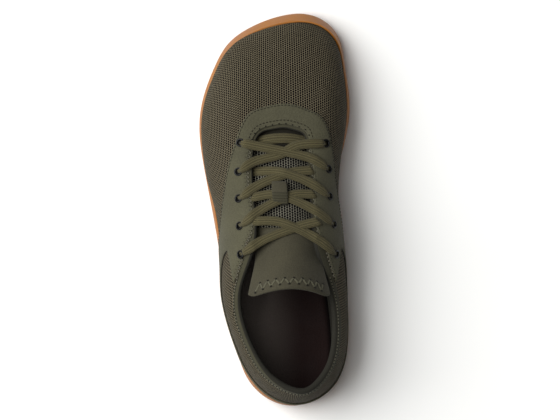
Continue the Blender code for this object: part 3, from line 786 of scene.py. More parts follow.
class Pen:
    """Adds nodes to a node tree and links them."""

    def __init__(self, tree: NodeTree) -> None:
        """Keeps the tree to draw in."""
        self.tree = tree

    def add(self, kind: str, inputs: dict | None = None, **settings: object) -> Node:
        """Adds one node.

        Args:
            kind: Blender's name of the node type.
            inputs: Value or source socket for each input, by name or number.
            settings: Attributes of the node.

        Returns:
            The new node.
        """
        node = self.tree.nodes.new(kind)
        for name, value in settings.items():
            setattr(node, name, value)
        for key, value in (inputs or {}).items():
            if isinstance(value, NodeSocket):
                self.tree.links.new(value, node.inputs[key])
            else:
                node.inputs[key].default_value = value
        return node

    def math(self, operation: str, *values: NodeSocket | float) -> NodeSocket:
        """Adds a math node and gives its result."""
        return self.add("ShaderNodeMath", dict(enumerate(values)), operation=operation).outputs[0]

    def rise(self, value: NodeSocket, low: NodeSocket | float, high: NodeSocket | float) -> NodeSocket:
        """Adds a smooth rise from 0 at low to 1 at high."""
        inputs = {"Value": value, "From Min": low, "From Max": high}
        return self.add("ShaderNodeMapRange", inputs, interpolation_type="SMOOTHSTEP").outputs["Result"]

    def spread(self, value: NodeSocket, low: float, high: float) -> NodeSocket:
        """Spreads a value from 0 to 1 over a range."""
        inputs = {"Value": value, "To Min": low, "To Max": high}
        return self.add("ShaderNodeMapRange", inputs).outputs["Result"]

    def blend(self, first: NodeSocket, second: NodeSocket, share: float) -> NodeSocket:
        """Adds up two values, the first by its share and the second by the rest."""
        parts = (self.math("MULTIPLY", *part) for part in ((first, share), (second, 1 - share)))
        return self.math("ADD", *parts)

    def mix(self, share: NodeSocket, first: Colour | NodeSocket, second: Colour | NodeSocket) -> NodeSocket:
        """Adds a colour mix and gives its result."""
        inputs: dict[int, object] = {0: share}
        for number, colour in ((6, first), (7, second)):
            inputs[number] = colour if isinstance(colour, NodeSocket) else (*colour, 1)
        return self.add("ShaderNodeMix", inputs, data_type="RGBA").outputs[2]

    def group(self, tree: NodeTree, inputs: dict) -> Node:
        """Places a node group with its own values."""
        return self.add("ShaderNodeGroup", inputs, node_tree=tree)

    def link(self, value: NodeSocket, target: NodeSocket) -> None:
        """Links a value to a socket."""
        self.tree.links.new(value, target)

    def own_points(self) -> NodeSocket:
        """Object coordinates of the piece."""
        return self.add("ShaderNodeTexCoord").outputs["Object"]

    def cloth_points(self) -> NodeSocket:
        """Places on the piece's cloth map, in millimetres."""
        return self.add("ShaderNodeUVMap", uv_map=CLOTH_UV).outputs["UV"]

    def relief(self, height: NodeSocket, depth: float) -> NodeSocket:
        """Bump of a depth in metres from a height between 0 and 1."""
        inputs = {"Height": height, "Distance": depth, "Strength": 1.0}
        return self.add("ShaderNodeBump", inputs).outputs["Normal"]


def new_group(
    name: str, vector: str, values: Sequence[str], outputs: Sequence[str]
) -> tuple[Pen, Node, Node]:
    """Starts a shader node group.

    Args:
        name: Name of the group.
        vector: Name of the input that takes points.
        values: Names of the inputs that take values.
        outputs: Names of the outputs, which are values.

    Returns:
        A pen on the group's tree, and its input and output nodes.
    """
    tree = bpy.data.node_groups.new(name, "ShaderNodeTree")
    tree.interface.new_socket(vector, in_out="INPUT", socket_type="NodeSocketVector")
    for way, labels in (("INPUT", values), ("OUTPUT", outputs)):
        for label in labels:
            tree.interface.new_socket(label, in_out=way, socket_type="NodeSocketFloat")
    return Pen(tree), tree.nodes.new("NodeGroupInput"), tree.nodes.new("NodeGroupOutput")


@dataclass
class Effects:
    """Node groups that several finishes use."""

    noise_range: Span = (0.3, 0.7)
    fine_detail: float = 4.0
    patch_detail: float = 3.0
    holes: NodeTree = field(init=False)
    grain: NodeTree = field(init=False)
    braid: NodeTree = field(init=False)

    def __post_init__(self) -> None:
        """Builds each group once."""
        self.holes = self._hole_lattice()
        self.grain = self._grain()
        self.braid = self._braid()

    def _hole_lattice(self) -> NodeTree:
        """Staggered columns of round holes, and the rounded threads between them."""
        values = ("Pitch", "Column Pitch", "Radius", "Softness")
        pen, inputs, outputs = new_group("hole_lattice", "Cloth", values, ("Hole", "Thread"))
        pitch, column_pitch, radius, softness = (inputs.outputs[label] for label in values)
        axes = pen.add("ShaderNodeSeparateXYZ", {0: inputs.outputs["Cloth"]}).outputs
        columns = pen.math("DIVIDE", axes["X"], column_pitch)
        odd = pen.math("FLOORED_MODULO", pen.math("FLOOR", columns), 2.0)
        stagger = pen.math("MULTIPLY", odd, 0.5)
        steps = pen.math("ADD", pen.math("DIVIDE", axes["Y"], pitch), stagger)
        squares = []
        for phase, size in ((columns, column_pitch), (steps, pitch)):
            centred = pen.math("SUBTRACT", pen.math("FRACT", phase), 0.5)
            away = pen.math("ABSOLUTE", pen.math("MULTIPLY", centred, size))
            squares.append(pen.math("POWER", away, 2.0))
        away = pen.math("SQRT", pen.math("ADD", *squares))
        inner, outer = (pen.math(way, radius, softness) for way in ("SUBTRACT", "ADD"))
        thread = pen.rise(away, inner, outer)
        pen.link(thread, outputs.inputs["Thread"])
        pen.link(pen.math("SUBTRACT", 1.0, thread), outputs.inputs["Hole"])
        return pen.tree

    def _grain(self) -> NodeTree:
        """Fine nap with broad patches, for leather, rubber and cloth."""
        values = ("Fine Scale", "Patch Scale")
        pen, inputs, outputs = new_group("grain", "Points", values, ("Fine", "Patch"))
        for label, detail in (("Fine", self.fine_detail), ("Patch", self.patch_detail)):
            scale = inputs.outputs[f"{label} Scale"]
            settings = {"Vector": inputs.outputs["Points"], "Scale": scale, "Detail": detail}
            noise = pen.add("ShaderNodeTexNoise", settings)
            pen.link(pen.rise(noise.outputs["Fac"], *self.noise_range), outputs.inputs[label])
        return pen.tree

    def _braid(self) -> NodeTree:
        """Ribs along a woven cord, and the slanted yarns that cross them."""
        values = ("Rib", "Yarn", "Slant")
        pen, inputs, outputs = new_group("braid", "Cloth", values, ("Ribs", "Yarns"))
        rib, yarn, slant = (inputs.outputs[label] for label in values)
        axes = pen.add("ShaderNodeSeparateXYZ", {0: inputs.outputs["Cloth"]}).outputs
        ribs = pen.math("DIVIDE", axes["X"], rib)
        zigzag = pen.math("ABSOLUTE", pen.math("SUBTRACT", pen.math("FRACT", ribs), 0.5))
        lean = pen.math("MULTIPLY", pen.math("MULTIPLY", zigzag, rib), slant)
        yarns = pen.math("DIVIDE", pen.math("ADD", axes["Y"], lean), yarn)
        for label, phase in (("Ribs", ribs), ("Yarns", yarns)):
            wave = pen.math("COSINE", pen.math("MULTIPLY", phase, math.tau))
            value = pen.math("ADD", pen.math("MULTIPLY", wave, -0.5), 0.5)
            pen.link(value, outputs.inputs[label])
        return pen.tree


def new_material(name: str, colour: Colour, constants: dict[str, float]) -> tuple[Material, Pen, Node]:
    """Starts a material.

    Args:
        name: Name of the finish.
        colour: Base colour, also for plain viewers.
        constants: Plain values of the shader's sockets.

    Returns:
        The material, a pen on its tree, and its shader node.
    """
    made = bpy.data.materials.new(name)
    made.use_nodes = True
    made.diffuse_color = (*colour, 1)
    shader = made.node_tree.nodes["Principled BSDF"]
    shader.inputs["Base Color"].default_value = (*colour, 1)
    for label, value in constants.items():
        shader.inputs[label].default_value = value
    return made, Pen(made.node_tree), shader


@dataclass(frozen=True)
class Finish:
    """Grainy finish of two colours; wear is how far its roughness goes below and above the plain value."""

    name: str
    main: Colour
    second: Colour
    fine_scale: float = 1100.0
    patch_scale: float = 55.0
    fine_share: float = 0.65
    depth: float = 0.12 * MM
    roughness: float = 0.85
    wear: Span = (-0.08, 0.05)
    worn_by: str = "Patch"
    sheen: float = 0.06
    specular: float = 0.12

    def constants(self) -> dict[str, float]:
        """Plain values of the shader's sockets."""
        plain = {"Roughness": self.roughness, "Sheen Weight": self.sheen}
        return plain | {"Specular IOR Level": self.specular}

    def draw(self, pen: Pen, grain: Sockets, _effects: Effects) -> Drawing:
        """Draws what sets the finish apart.

        Args:
            pen: Pen on the material's tree.
            grain: Fine and Patch values of the grain.
            _effects: Node groups; not used here.

        Returns:
            The colour, and the height of the relief if it has one.
        """
        share = pen.blend(grain["Fine"], grain["Patch"], self.fine_share)
        return pen.mix(share, self.second, self.main), grain["Fine"]

    def build(self, effects: Effects) -> Material:
        """Makes the material."""
        made, pen, shader = new_material(self.name, self.main, self.constants())
        scales = {"Fine Scale": self.fine_scale, "Patch Scale": self.patch_scale}
        grain = pen.group(effects.grain, {"Points": pen.own_points(), **scales}).outputs
        colour, height = self.draw(pen, grain, effects)
        pen.link(colour, shader.inputs["Base Color"])
        rough = (self.roughness + change for change in self.wear)
        pen.link(pen.spread(grain[self.worn_by], *rough), shader.inputs["Roughness"])
        if height is not None:
            pen.link(pen.relief(height, self.depth), shader.inputs["Normal"])
        return made


@dataclass(frozen=True)
class MeshCloth(Finish):
    """Open knit with columns of round holes over a darker backing, painted near black: the backing's colour
    deepened by painted shade inside each hole.
    """

    # Colour in the holes: the dark backing with painted shade.
    hole: Colour = (0, 0, 0)
    pitch: float = 1.77
    column_pitch: float = 1.75
    radius: float = 0.7
    softness: float = 0.07
    fuzz: float = 0.3
    fine_scale: float = 1500.0
    patch_scale: float = 45.0
    depth: float = 0.45 * MM
    wear: Span = (-0.06, 0.06)
    sheen: float = 0.02
    specular: float = 0.08

    def draw(self, pen: Pen, grain: Sockets, effects: Effects) -> Drawing:
        """Draws the holes, painted dark with the shade inside them, between fuzzy threads."""
        lattice = pen.group(effects.holes, {
            "Cloth": pen.cloth_points(), "Pitch": self.pitch, "Column Pitch": self.column_pitch,
            "Radius": self.radius, "Softness": self.softness,
        }).outputs
        yarn = pen.mix(grain["Fine"], self.second, self.main)
        height = pen.math("ADD", lattice["Thread"], pen.math("MULTIPLY", grain["Fine"], self.fuzz))
        return pen.mix(lattice["Hole"], yarn, self.hole), height


@dataclass(frozen=True)
class Nubuck(Finish):
    """Soft napped leather, microfibre or thread, which may carry painted light that lightens it towards the
    lateral side.
    """

    # Colour of the painted light on the lateral side, if any.
    faded: Colour | None = None
    # Span along X over which the painted light gives way to the own colour.
    fade: Span = (-45 * MM, 22 * MM)

    def draw(self, pen: Pen, grain: Sockets, effects: Effects) -> Drawing:
        """Draws the nap and its painted light."""
        colour, height = super().draw(pen, grain, effects)
        if self.faded:
            # Painted light: the colour turns lighter towards the lateral side, where the lamps leave the
            # inside in shade.
            axes = pen.add("ShaderNodeSeparateXYZ", {0: pen.own_points()}).outputs
            colour = pen.mix(pen.rise(axes["X"], *self.fade), self.faded, colour)
        return colour, height


@dataclass(frozen=True)
class Weave(Finish):
    """Woven tape or lace with ribs along it and slanted yarns, painted darker in its hollows as shade."""

    rib: float = 1.3
    yarn: float = 0.95
    slant: float = 1.4
    rib_share: float = 0.5
    fray: Span = (0.75, 1.1)
    fine_scale: float = 1800.0
    patch_scale: float = 90.0
    depth: float = 0.3 * MM
    roughness: float = 0.75
    wear: Span = (-0.07, 0.07)
    sheen: float = 0.04
    specular: float = 0.15

    def draw(self, pen: Pen, grain: Sockets, effects: Effects) -> Drawing:
        """Draws the frayed ribs and yarns; the second colour in their hollows is painted shade."""
        sizes = {"Rib": self.rib, "Yarn": self.yarn, "Slant": self.slant}
        braid = pen.group(effects.braid, {"Cloth": pen.cloth_points(), **sizes}).outputs
        height = pen.blend(braid["Ribs"], braid["Yarns"], self.rib_share)
        frayed = pen.math("MULTIPLY", height, pen.spread(grain["Fine"], *self.fray))
        # Colour follows the relief: painted shade in the hollows.
        return pen.mix(frayed, self.second, self.main), frayed


@dataclass(frozen=True)
class Gum(Finish):
    """Moulded gum rubber with a dusty bloom."""

    fine_scale: float = 700.0
    patch_scale: float = 38.0
    fine_share: float = 0.25
    depth: float = 0.05 * MM
    roughness: float = 0.5
    wear: Span = (-0.08, 0.12)
    sheen: float = 0.0
    specular: float = 0.2


@dataclass(frozen=True)
class Enamel(Finish):
    """Black enamelled metal, a little rubbed."""

    fine_scale: float = 900.0
    patch_scale: float = 260.0
    roughness: float = 0.38
    wear: Span = (0.0, 0.12)
    worn_by: str = "Fine"
    sheen: float = 0.0
    specular: float = 0.15
    coat: float = 0.12
    coat_roughness: float = 0.1

    def constants(self) -> dict[str, float]:
        """Plain values of the shader's sockets, with those of the coat."""
        return super().constants() | {"Coat Weight": self.coat, "Coat Roughness": self.coat_roughness}

    def draw(self, pen: Pen, grain: Sockets, _effects: Effects) -> Drawing:
        """Draws the rubbed patches, without relief."""
        return pen.mix(grain["Patch"], self.main, self.second), None


@dataclass
class Finishes:
    """Every finish of the shoe, built once."""

    effects: Effects
    thread_scale: float = 2500.0
    made: dict[str, Material] = field(init=False)

    def __post_init__(self) -> None:
        """Builds the materials."""
        threads = (
            ("edge_thread", linear(44, 42, 31), linear(32, 30, 22)),
            # Dark cloth for painted shade: needle holes, the cord under each window's edge and the tongue's
            # front under the throat.
            ("dark_thread", linear(30, 28, 19), linear(20, 18, 12)),
            ("light_thread", linear(112, 109, 94), linear(92, 89, 74)),
            ("matching_thread", linear(90, 88, 72), linear(72, 70, 55)),
        )
        kinds = (
            # The near-black hole colours of both knits are the backing with painted shade.
            MeshCloth("vamp_mesh", linear(119, 110, 90), linear(96, 88, 69), hole=linear(3, 3, 1),
                      radius=0.76),
            MeshCloth("tongue_mesh", linear(132, 129, 115), linear(104, 101, 88), hole=linear(3, 3, 2),
                      pitch=1.8, column_pitch=1.85, radius=0.82),
            Nubuck("eyestay_nubuck", linear(80, 78, 61), linear(65, 63, 49)),
            Nubuck("collar_cloth", linear(66, 64, 49), linear(51, 49, 37), fine_scale=1900.0),
            Nubuck("tongue_cloth", linear(68, 65, 51), linear(55, 52, 41), fine_scale=1300.0),
            Nubuck("lining", linear(42, 41, 35), linear(32, 31, 26), fine_scale=1500.0, sheen=0.02),
            # The footbed's lighter lateral side is painted light.
            Nubuck("footbed", linear(29, 18, 16), linear(23, 13, 12), fine_scale=900.0, sheen=0.02,
                   faded=linear(118, 110, 103)),
            # The dark second colours of the lace and the loop tape are painted shade in the weave's
            # hollows.
            Weave("lace_braid", linear(106, 99, 69), linear(35, 32, 20), rib_share=0.42, depth=0.4 * MM),
            Weave("loop_tape", linear(84, 81, 62), linear(44, 42, 30), rib=40.0, yarn=1.0, slant=0.0,
                  rib_share=0.1),
            *(Nubuck(*thread, fine_scale=self.thread_scale) for thread in threads),
            Gum("gum_side", linear(162, 107, 50), linear(148, 92, 38)),
            Gum("gum_tread", linear(196, 104, 58), linear(180, 86, 46)),
            # Darker gum for the floors of grooves and dimples: painted shade in the recesses.
            Gum("gum_groove", linear(156, 62, 30), linear(150, 62, 30)),
            Enamel("eyelet_enamel", linear(6, 6, 6), linear(13, 13, 12)),
        )
        self.made = {kind.name: kind.build(self.effects) for kind in kinds}

    def __getitem__(self, name: str) -> Material:
        """Finish by its name."""
        return self.made[name]


@dataclass
class Assembly:
    """Sub-assembly of the shoe, with the last that it lies on and the finishes that it wears."""

    last: Last
    finishes: Finishes

    def make(self, name: str, bm: BMesh, *dress: str) -> Object:
        """Turns a bmesh into an object with the named finishes."""
        return make_object(name, bm, [self.finishes[finish] for finish in dress])


@dataclass
class Upper(Assembly):
    """Hollow upper: knit wall, padded collar roll and lining."""

    around: int = 360
    outer_rows: int = 56
    lip_rows: int = 10
    inner_rows: int = 20
    roll: float = 2.0 * MM
    roll_lateral: float = 1.0 * MM
    cloth: float = 4.4 * MM
    cloth_medial: float = 0.6 * MM
    # Share of the lip's turn where the dark lining starts: its own colour, which also paints the shade on
    # the roll's inner half.
    crest: float = 0.08
    roll_groove: float = 0.45 * MM
    groove_reach: float = 0.8 * MM
    collar_sections: float = 3.6
    arch_centre: float = 10.0
    arch_width: float = 27.0
    arch_slope: float = 0.27
    rear_slope: float = 0.15
    rear: Span = (-95.0, 35.0)
    squeeze: float = 0.12
    squeeze_width: float = 15.0
    row_crowding: float = 1.25
    collar_fade: float = 0.3

    def _shares(self) -> Array:
        """Share of each outer row, closer together towards the edge."""
        t = np.linspace(0, 1, self.outer_rows + 1)
        return 1 - (1 - t) ** self.row_crowding

    def roll_width(self, at: Array) -> Array:
        """Width of the collar roll, which is wider on the lateral side."""
        _, outward = self.last.outline(at)
        return self.roll - self.roll_lateral * outward[..., 0]

    def collar_mask(self, at: Array) -> Array:
        """One along the collar, nought along the throat."""
        middle, fade = self.collar_sections, self.collar_fade
        return 1 - smoothstep(folded(at), middle - fade, middle + fade)

    def loops(self, at: Array) -> list[Array]:
        """Loops of points from the feather up the outside, over the lip and down the inside."""
        loops = []
        for share in self._shares():
            shares = np.full_like(at, share)
            away = self.last.edge_distance(at, shares)
            groove = self.roll_groove * bump(away, self.roll_width(at), self.groove_reach)
            loops.append(self.last.offset(at, shares, -groove * self.collar_mask(at)))
        inner = []
        for share in np.linspace(1, 0, self.inner_rows + 1):
            shares = np.full_like(at, share)
            inner.append(self.last.offset(at, shares, -self.last.thickness(at, shares)))
        _, up = self.last.directions(at, np.ones_like(at))
        middle = (loops[-1] + inner[0]) / 2
        reach = loops[-1] - middle
        radius = np.linalg.norm(reach, axis=1, keepdims=True)
        for turn in np.linspace(0, math.pi, self.lip_rows + 1)[1:-1]:
            loops.append(middle + reach * math.cos(turn) + up * radius * math.sin(turn))
        return loops + inner

    def _rows(self, spots: Array) -> Array:
        """Row of the shell at grid coordinates, counted from the feather edge."""
        return spots[:, 1] * (self.outer_rows + self.lip_rows + self.inner_rows + 1)

    def _slack(self, loops: Sequence[Array]) -> Array:
        """Length of the wall beyond that of its plan, from the top edge down to each outer row."""
        steps = -np.diff(np.stack(loops[: self.outer_rows + 1]), axis=0)[::-1]
        _, outward = self.last.outline(ring_positions(self.around))
        way = np.sign((steps[..., :2] * outward).sum(axis=-1))
        extra = np.linalg.norm(steps, axis=-1) - np.linalg.norm(steps[..., :2], axis=-1) * way
        return np.vstack([np.zeros(self.around), np.cumsum(extra, axis=0)])[::-1]

    def _lay_flat(self, spots: Array, points: Array, slack: Array) -> Array:
        """Cloth places of the knit: the wall laid flat, with its rows arched towards the toe."""
        column = step_of(spots[:, 0], self.around) % self.around
        row = np.minimum(np.rint(self._rows(spots)).astype(int), self.outer_rows)
        _, outward = self.last.outline(spots[:, 0] * RING)
        flat = (points[:, :2] + outward * slack[row, column][:, None]) / MM
        across = flat[:, 0] - self.arch_centre
        pull = np.hypot(across, self.squeeze_width) - self.squeeze_width
        squeeze = self.squeeze * np.sign(across) * pull
        slope = self.arch_slope + self.rear_slope * (1 - smoothstep(flat[:, 1], *self.rear))
        arch = slope * np.hypot(across, self.arch_width)
        return np.stack([across + squeeze, flat[:, 1] + arch], axis=1)

    def _zone(self, spots: Array, _points: Array) -> Array:
        """Zone of each face: 0 knit, 1 collar roll, 2 lining, whose dark colour also paints the shade on
        the roll's inner half.
        """
        row = self._rows(spots)
        shares = np.interp(row, np.arange(self.outer_rows + 1), self._shares())
        at = spots[:, 0] * RING
        _, outward = self.last.outline(at)
        cloth = self.cloth + self.cloth_medial * outward[:, 0]
        zone = np.where(self.last.edge_distance(at, shares) < cloth, 1, 0)
        # Dark lining from just past the lip's top: its own colour plus painted shade on the roll's inner
        # half.
        zone[row > self.outer_rows + self.lip_rows * self.crest] = 2
        return zone

    def build(self) -> Object:
        """Builds and dresses the upper."""
        at = ring_positions(self.around)
        bm = bmesh.new()
        loops = self.loops(at)
        slack = self._slack(loops)
        add_ring(bm, loops, closed=True)
        piece = self.make("upper_shell", merge(bm), "vamp_mesh", "collar_cloth", "lining")
        lay_cloth(piece.data, lambda spots, points: self._lay_flat(spots, points, slack))
        paint_zones(piece.data, self._zone)
        return settle(piece, ["upper"])


@dataclass
class Overlay(Assembly):
    """Eyestay, quarter and heel counter, sewn on the knit, with a window on each side."""

    around: int = 432
    low_rows: int = 22
    high_rows: int = 20
    thick: float = 1.15 * MM
    seat: float = 0.12 * MM
    edge_round: float = 0.9 * MM
    top_limit: float = 0.992
    above_rim: float = 0.02
    split_share: float = 0.55
    apex: float = 3.82
    ear_end: float = 3.25
    quarter: float = 2.9
    ear_top: float = 0.925
    counter_top: float = 0.45
    groove: float = 0.2 * MM
    groove_inset: float = 1.3 * MM
    groove_reach: float = 0.45 * MM
    backing: float = 0.5 * MM
    ear_sections: float = 4.3
    ear_curve: float = 0.8
    side_curve: float = 0.55
    # Sizes of the dark cord painted as the shade under each window's lower edge.
    piping_lift: float = 0.35 * MM
    piping_pitch: float = 1.2 * MM
    piping_radius: float = 0.42 * MM

    def low(self, at: Array) -> Array:
        """Share of the lower edge."""
        return np.maximum(self.last.profile("low", at), self.last.rim_share(at) + self.above_rim)

    def high(self, at: Array) -> Array:
        """Share of the upper edge."""
        edge = np.minimum(self.last.profile("high", at), self.top_limit)
        return np.where(folded(at) < self.ear_sections, np.maximum(edge, self.ear_top), edge)

    def window(self, at: Array) -> tuple[Array, Array]:
        """Shares of the window's lower and upper edge, which meet where there is no window."""
        low, high, position = self.low(at), self.high(at), folded(at)
        tip = low + (high - low) * self.split_share
        ear = ramp(position, self.apex, self.ear_end) ** self.ear_curve
        side = ramp(position, self.apex, self.quarter) ** self.side_curve
        return tip + (self.counter_top - tip) * side, tip + (high - tip) * ear

    def _edges(self) -> KDTree:
        """Points along every free edge of the overlay."""
        at = np.linspace(0, RING, 2400, endpoint=False)
        position = folded(at)
        lower, upper = self.window(at)
        ears, behind = position > self.ear_end, position < self.apex
        glass = behind & ears
        runs = ((at, self.low(at)), (at[ears], self.high(at)[ears]), (at[behind], lower[behind]),
                (at[glass], upper[glass]))
        points = np.concatenate([self.last.point(*run) for run in runs])
        tree = KDTree(len(points))
        for number, point in enumerate(points):
            tree.insert(point, number)
        tree.balance()
        return tree

    def _lift(self, at: Array, share: Array, edges: KDTree) -> Array:
        """Height of the overlay's face above the knit: rounded off at its edges, sunk at its stitches."""
        away = np.array([edges.find(point)[2] for point in self.last.point(at, share)])
        round_off = np.sqrt(1 - (1 - np.clip(away / self.edge_round, 0, 1)) ** 2)
        sunk = self.groove * bump(away, self.groove_inset, self.groove_reach)
        return self.seat + self.thick * round_off - sunk

    def _strip(self, bm: BMesh, rows: int, start: Array, end: Array, edges: KDTree) -> None:
        """Adds one strip of the overlay between two edges."""
        at = ring_positions(self.around)
        loops = []
        for t in 0.5 - 0.5 * np.cos(np.linspace(0, math.pi, rows + 1)):
            share = start + (end - start) * t
            loops.append(self.last.offset(at, share, self._lift(at, share, edges)))
        add_ring(bm, loops)

    def build(self) -> Object:
        """Builds and dresses the overlay."""
        at = ring_positions(self.around)
        lower, upper = self.window(at)
        edges = self._edges()
        bm = bmesh.new()
        self._strip(bm, self.low_rows, self.low(at), lower, edges)
        self._strip(bm, self.high_rows, upper, self.high(at), edges)
        merge(bm, recalculate=False)
        flat = Vector((1, 1, 0))
        outward = sum(face.normal.dot(face.calc_center_median() * flat) for face in bm.faces)
        if outward < 0:
            bmesh.ops.reverse_faces(bm, faces=bm.faces[:])
        bmesh.ops.solidify(bm, geom=bm.faces[:], thickness=self.backing)
        piece = self.make("eyestay_and_counter", merge(bm), "eyestay_nubuck")
        return settle(piece, ["overlay_band"])

    def piping(self) -> Object:
        """Builds the dark cord along the lower edge of each window: painted shade for the shadow under the
        overlay's edge.
        """
        bm = bmesh.new()
        reach = np.linspace(self.apex, self.quarter, 120)
        for at in (reach, RING - reach):
            lower, _ = self.window(at)
            points = self.last.offset(at, lower, self.piping_lift)
            normal, _ = self.last.directions(at, lower)
            path = even_path(np.hstack([points, normal]), self.piping_pitch)
            radius = np.full(len(path), self.piping_radius)
            add_tube(bm, path[:, :3], unit(path[:, 3:]), radius, radius, 8)
        return settle(self.make("window_piping", merge(bm), "dark_thread"))


@dataclass
class Tongue(Assembly):
    """Padded tongue with a knit front and a smooth end."""

    thick: float = 3.2 * MM
    edge_thinning: float = 0.55
    tip_dip: float = 8.0 * MM
    tip_start: float = 0.85
    corner: float = 3.0 * MM
    rows: int = 110
    columns: int = 44
    edge_start: float = 0.93
    end_start: float = 0.985
    smooth_from: float = -12 * MM
    # Where the painted shade under the throat's edge begins.
    dark_from: float = 45 * MM
    corner_start: float = 0.8
    corner_curve: float = 2.5
    side_crowding: float = 0.8
    fine_from: float = 0.9
    fine_position: float = 0.97
    hold: float = 0.997

    def point(self, position: Array, side: Array) -> Array:
        """Point on the top.

        Args:
            position: From 0 at the front to 1 at the free end.
            side: From -1 at the lateral edge to 1 at the medial one.

        Returns:
            The points.
        """
        rows = np.array(TONGUE_ROWS) * MM
        sizes = open_spline(rows, position * (len(rows) - 1))
        along, centre, height, half_width, fall = np.moveaxis(sizes, -1, 0)
        tip = ramp(position, self.tip_start, 1) ** 2
        rounded = self.corner * ramp(np.abs(side), self.corner_start, 1) ** self.corner_curve
        along = along - tip * (self.tip_dip * side**2 - rounded)
        spot = [centre + half_width * side, along, height - fall * side**2]
        return np.stack(spot, axis=-1) + self.last.shift

    def normal(self, position: Array, side: Array) -> Array:
        """Upward normal of the top."""
        step = 0.002
        forward = self.point(position - step, side) - self.point(position + step, side)
        across = self.point(position, side + step) - self.point(position, side - step)
        return unit(np.cross(across, forward))

    def position(self, along: float) -> float:
        """Position on the crown at a distance along the shoe."""
        probe = np.linspace(0, 1, 400)
        return float(np.interp(-along, -self.point(probe, 0 * probe)[:, 1], probe))

    def _face(self, position: Array, side: Array, under: bool) -> Array:
        """Point on the top or the underside, which meet in a rounded edge."""
        thin = self.thick * (1 - self.edge_thinning * side**4)
        near_edge = ramp(np.abs(side), self.edge_start, 1)
        near_end = ramp(position, self.end_start, 1)
        sink = 1 - np.sqrt(np.clip(1 - np.maximum(near_edge, near_end) ** 2, 0, 1))
        depth = thin * (1 - sink / 2) if under else thin * sink / 2
        held = np.clip(position, 1 - self.hold, self.hold)
        normal = self.normal(held, np.clip(side, -self.hold, self.hold))
        return self.point(position, side) - normal * depth[:, None]

    def _zone(self, _spots: Array, middles: Array) -> Array:
        """Zone of each face: 0 knit, 1 smooth end, 2 front under the throat's edge, painted dark as the
        shade of the throat's lip.
        """
        along = middles[:, 1]
        return np.select([along < self.smooth_from, along > self.dark_from], [1, 2], 0)

    def build(self) -> Object:
        """Builds and dresses the tongue."""

        def place(u: Array, w: Array) -> Array:
            """Point round the tongue's section for grid coordinates."""
            turn = u * 2
            under = turn > 1
            side = signed_power(-np.cos(np.pi * np.where(under, 2 - turn, turn)), self.side_crowding)
            early = w / self.fine_from * self.fine_position
            late = np.sin(ramp(w, self.fine_from, 1) * math.pi / 2)
            late = self.fine_position + (1 - self.fine_position) * late
            position = np.where(w < self.fine_from, early, late)
            top, bottom = self._face(position, side, False), self._face(position, side, True)
            return np.where(under[:, None], bottom, top)

        bm = make_sleeve(2 * self.columns, self.rows, place)
        piece = self.make("tongue_pad", bm, "tongue_mesh", "tongue_cloth", "dark_thread")
        lay_cloth(piece.data, lambda _spots, points: points[:, :2] / MM)
        paint_zones(piece.data, self._zone)
        settle(piece, ["tongue"])
        return piece


@dataclass
class Ground:
    """What lies under the lace: the tops of the finished pieces, felt from above."""

    trees: list[BVHTree]
    start: float = 0.3

    @classmethod
    def of(cls, pieces: Sequence[Object]) -> "Ground":
        """Ground made of the meshes of finished pieces."""
        trees = []
        for piece in pieces:
            bm = bmesh.new()
            bm.from_mesh(piece.data)
            trees.append(BVHTree.FromBMesh(bm))
            bm.free()
        return cls(trees)

    def height(self, across: float, along: float) -> float:
        """Height of the highest piece over a plan position."""
        origin = Vector((across, along, self.start))
        hits = [tree.ray_cast(origin, Vector((0, 0, -1)))[0] for tree in self.trees]
        return max((hit.z for hit in hits if hit is not None), default=0.0)

    def heights(self, plan: Array) -> Array:
        """Heights over several plan positions."""
        return np.array([self.height(x, y) for x, y in plan])


@dataclass
class Eyelets(Assembly):
    """Ten small enamelled eyelets."""

    outer: float = 3.1 * MM
    inner: float = 1.9 * MM
    height: float = 0.95 * MM
    seat: float = 1.25 * MM
    floor: float = 0.2 * MM
    steps: int = 28
    sides: int = 10

    def seats(self) -> dict[tuple[Side, int], tuple[Array, Array]]:
        """Centre and normal of each eyelet on the overlay."""
        found = {}
        for number, row in enumerate(EYELET_ROWS):
            spots = ((Side.LATERAL, row.lateral, 0.0), (Side.MEDIAL, row.medial, row.medial_ahead))
            for side, across, ahead in spots:
                plan = np.array([across, row.along + ahead]) * MM + self.last.shift[:2]
                at, share = self.last.spot(*plan)
                normal, _ = self.last.directions(at, share)
                found[side, number] = (self.last.offset(at, share, self.seat)[0], normal[0])
        return found

    def build(self) -> list[Object]:
        """Builds and dresses each eyelet."""
        made = []
        wide, tall = (self.outer - self.inner) / 2, self.height / 2
        for (side, number), (centre, normal) in self.seats().items():
            bm = bmesh.new()
            ring = bmesh.ops.create_circle(bm, segments=self.sides, radius=1)
            for vert in ring["verts"]:
                x, y, _ = vert.co
                vert.co = (self.inner + wide + wide * x, 0, tall + tall * y)
            bmesh.ops.spin(bm, geom=bm.edges[:], cent=(0, 0, 0), axis=(0, 0, 1), angle=math.tau,
                           steps=self.steps, use_merge=True)
            bmesh.ops.create_cone(bm, cap_ends=True, segments=self.steps, radius1=self.inner + wide,
                                  radius2=self.inner + wide, depth=self.floor)
            merge(bm)
            matrix = frame_matrix(centre, np.array([0, 1, 0]), normal)
            bmesh.ops.transform(bm, matrix=matrix, verts=bm.verts[:])
            label = f"{side.label}_{number + 1}"
            piece = self.make(f"eyelet_ring_{label}", bm, "eyelet_enamel")
            made.append(settle(piece, [f"eyelet_{label}"]))
        return made


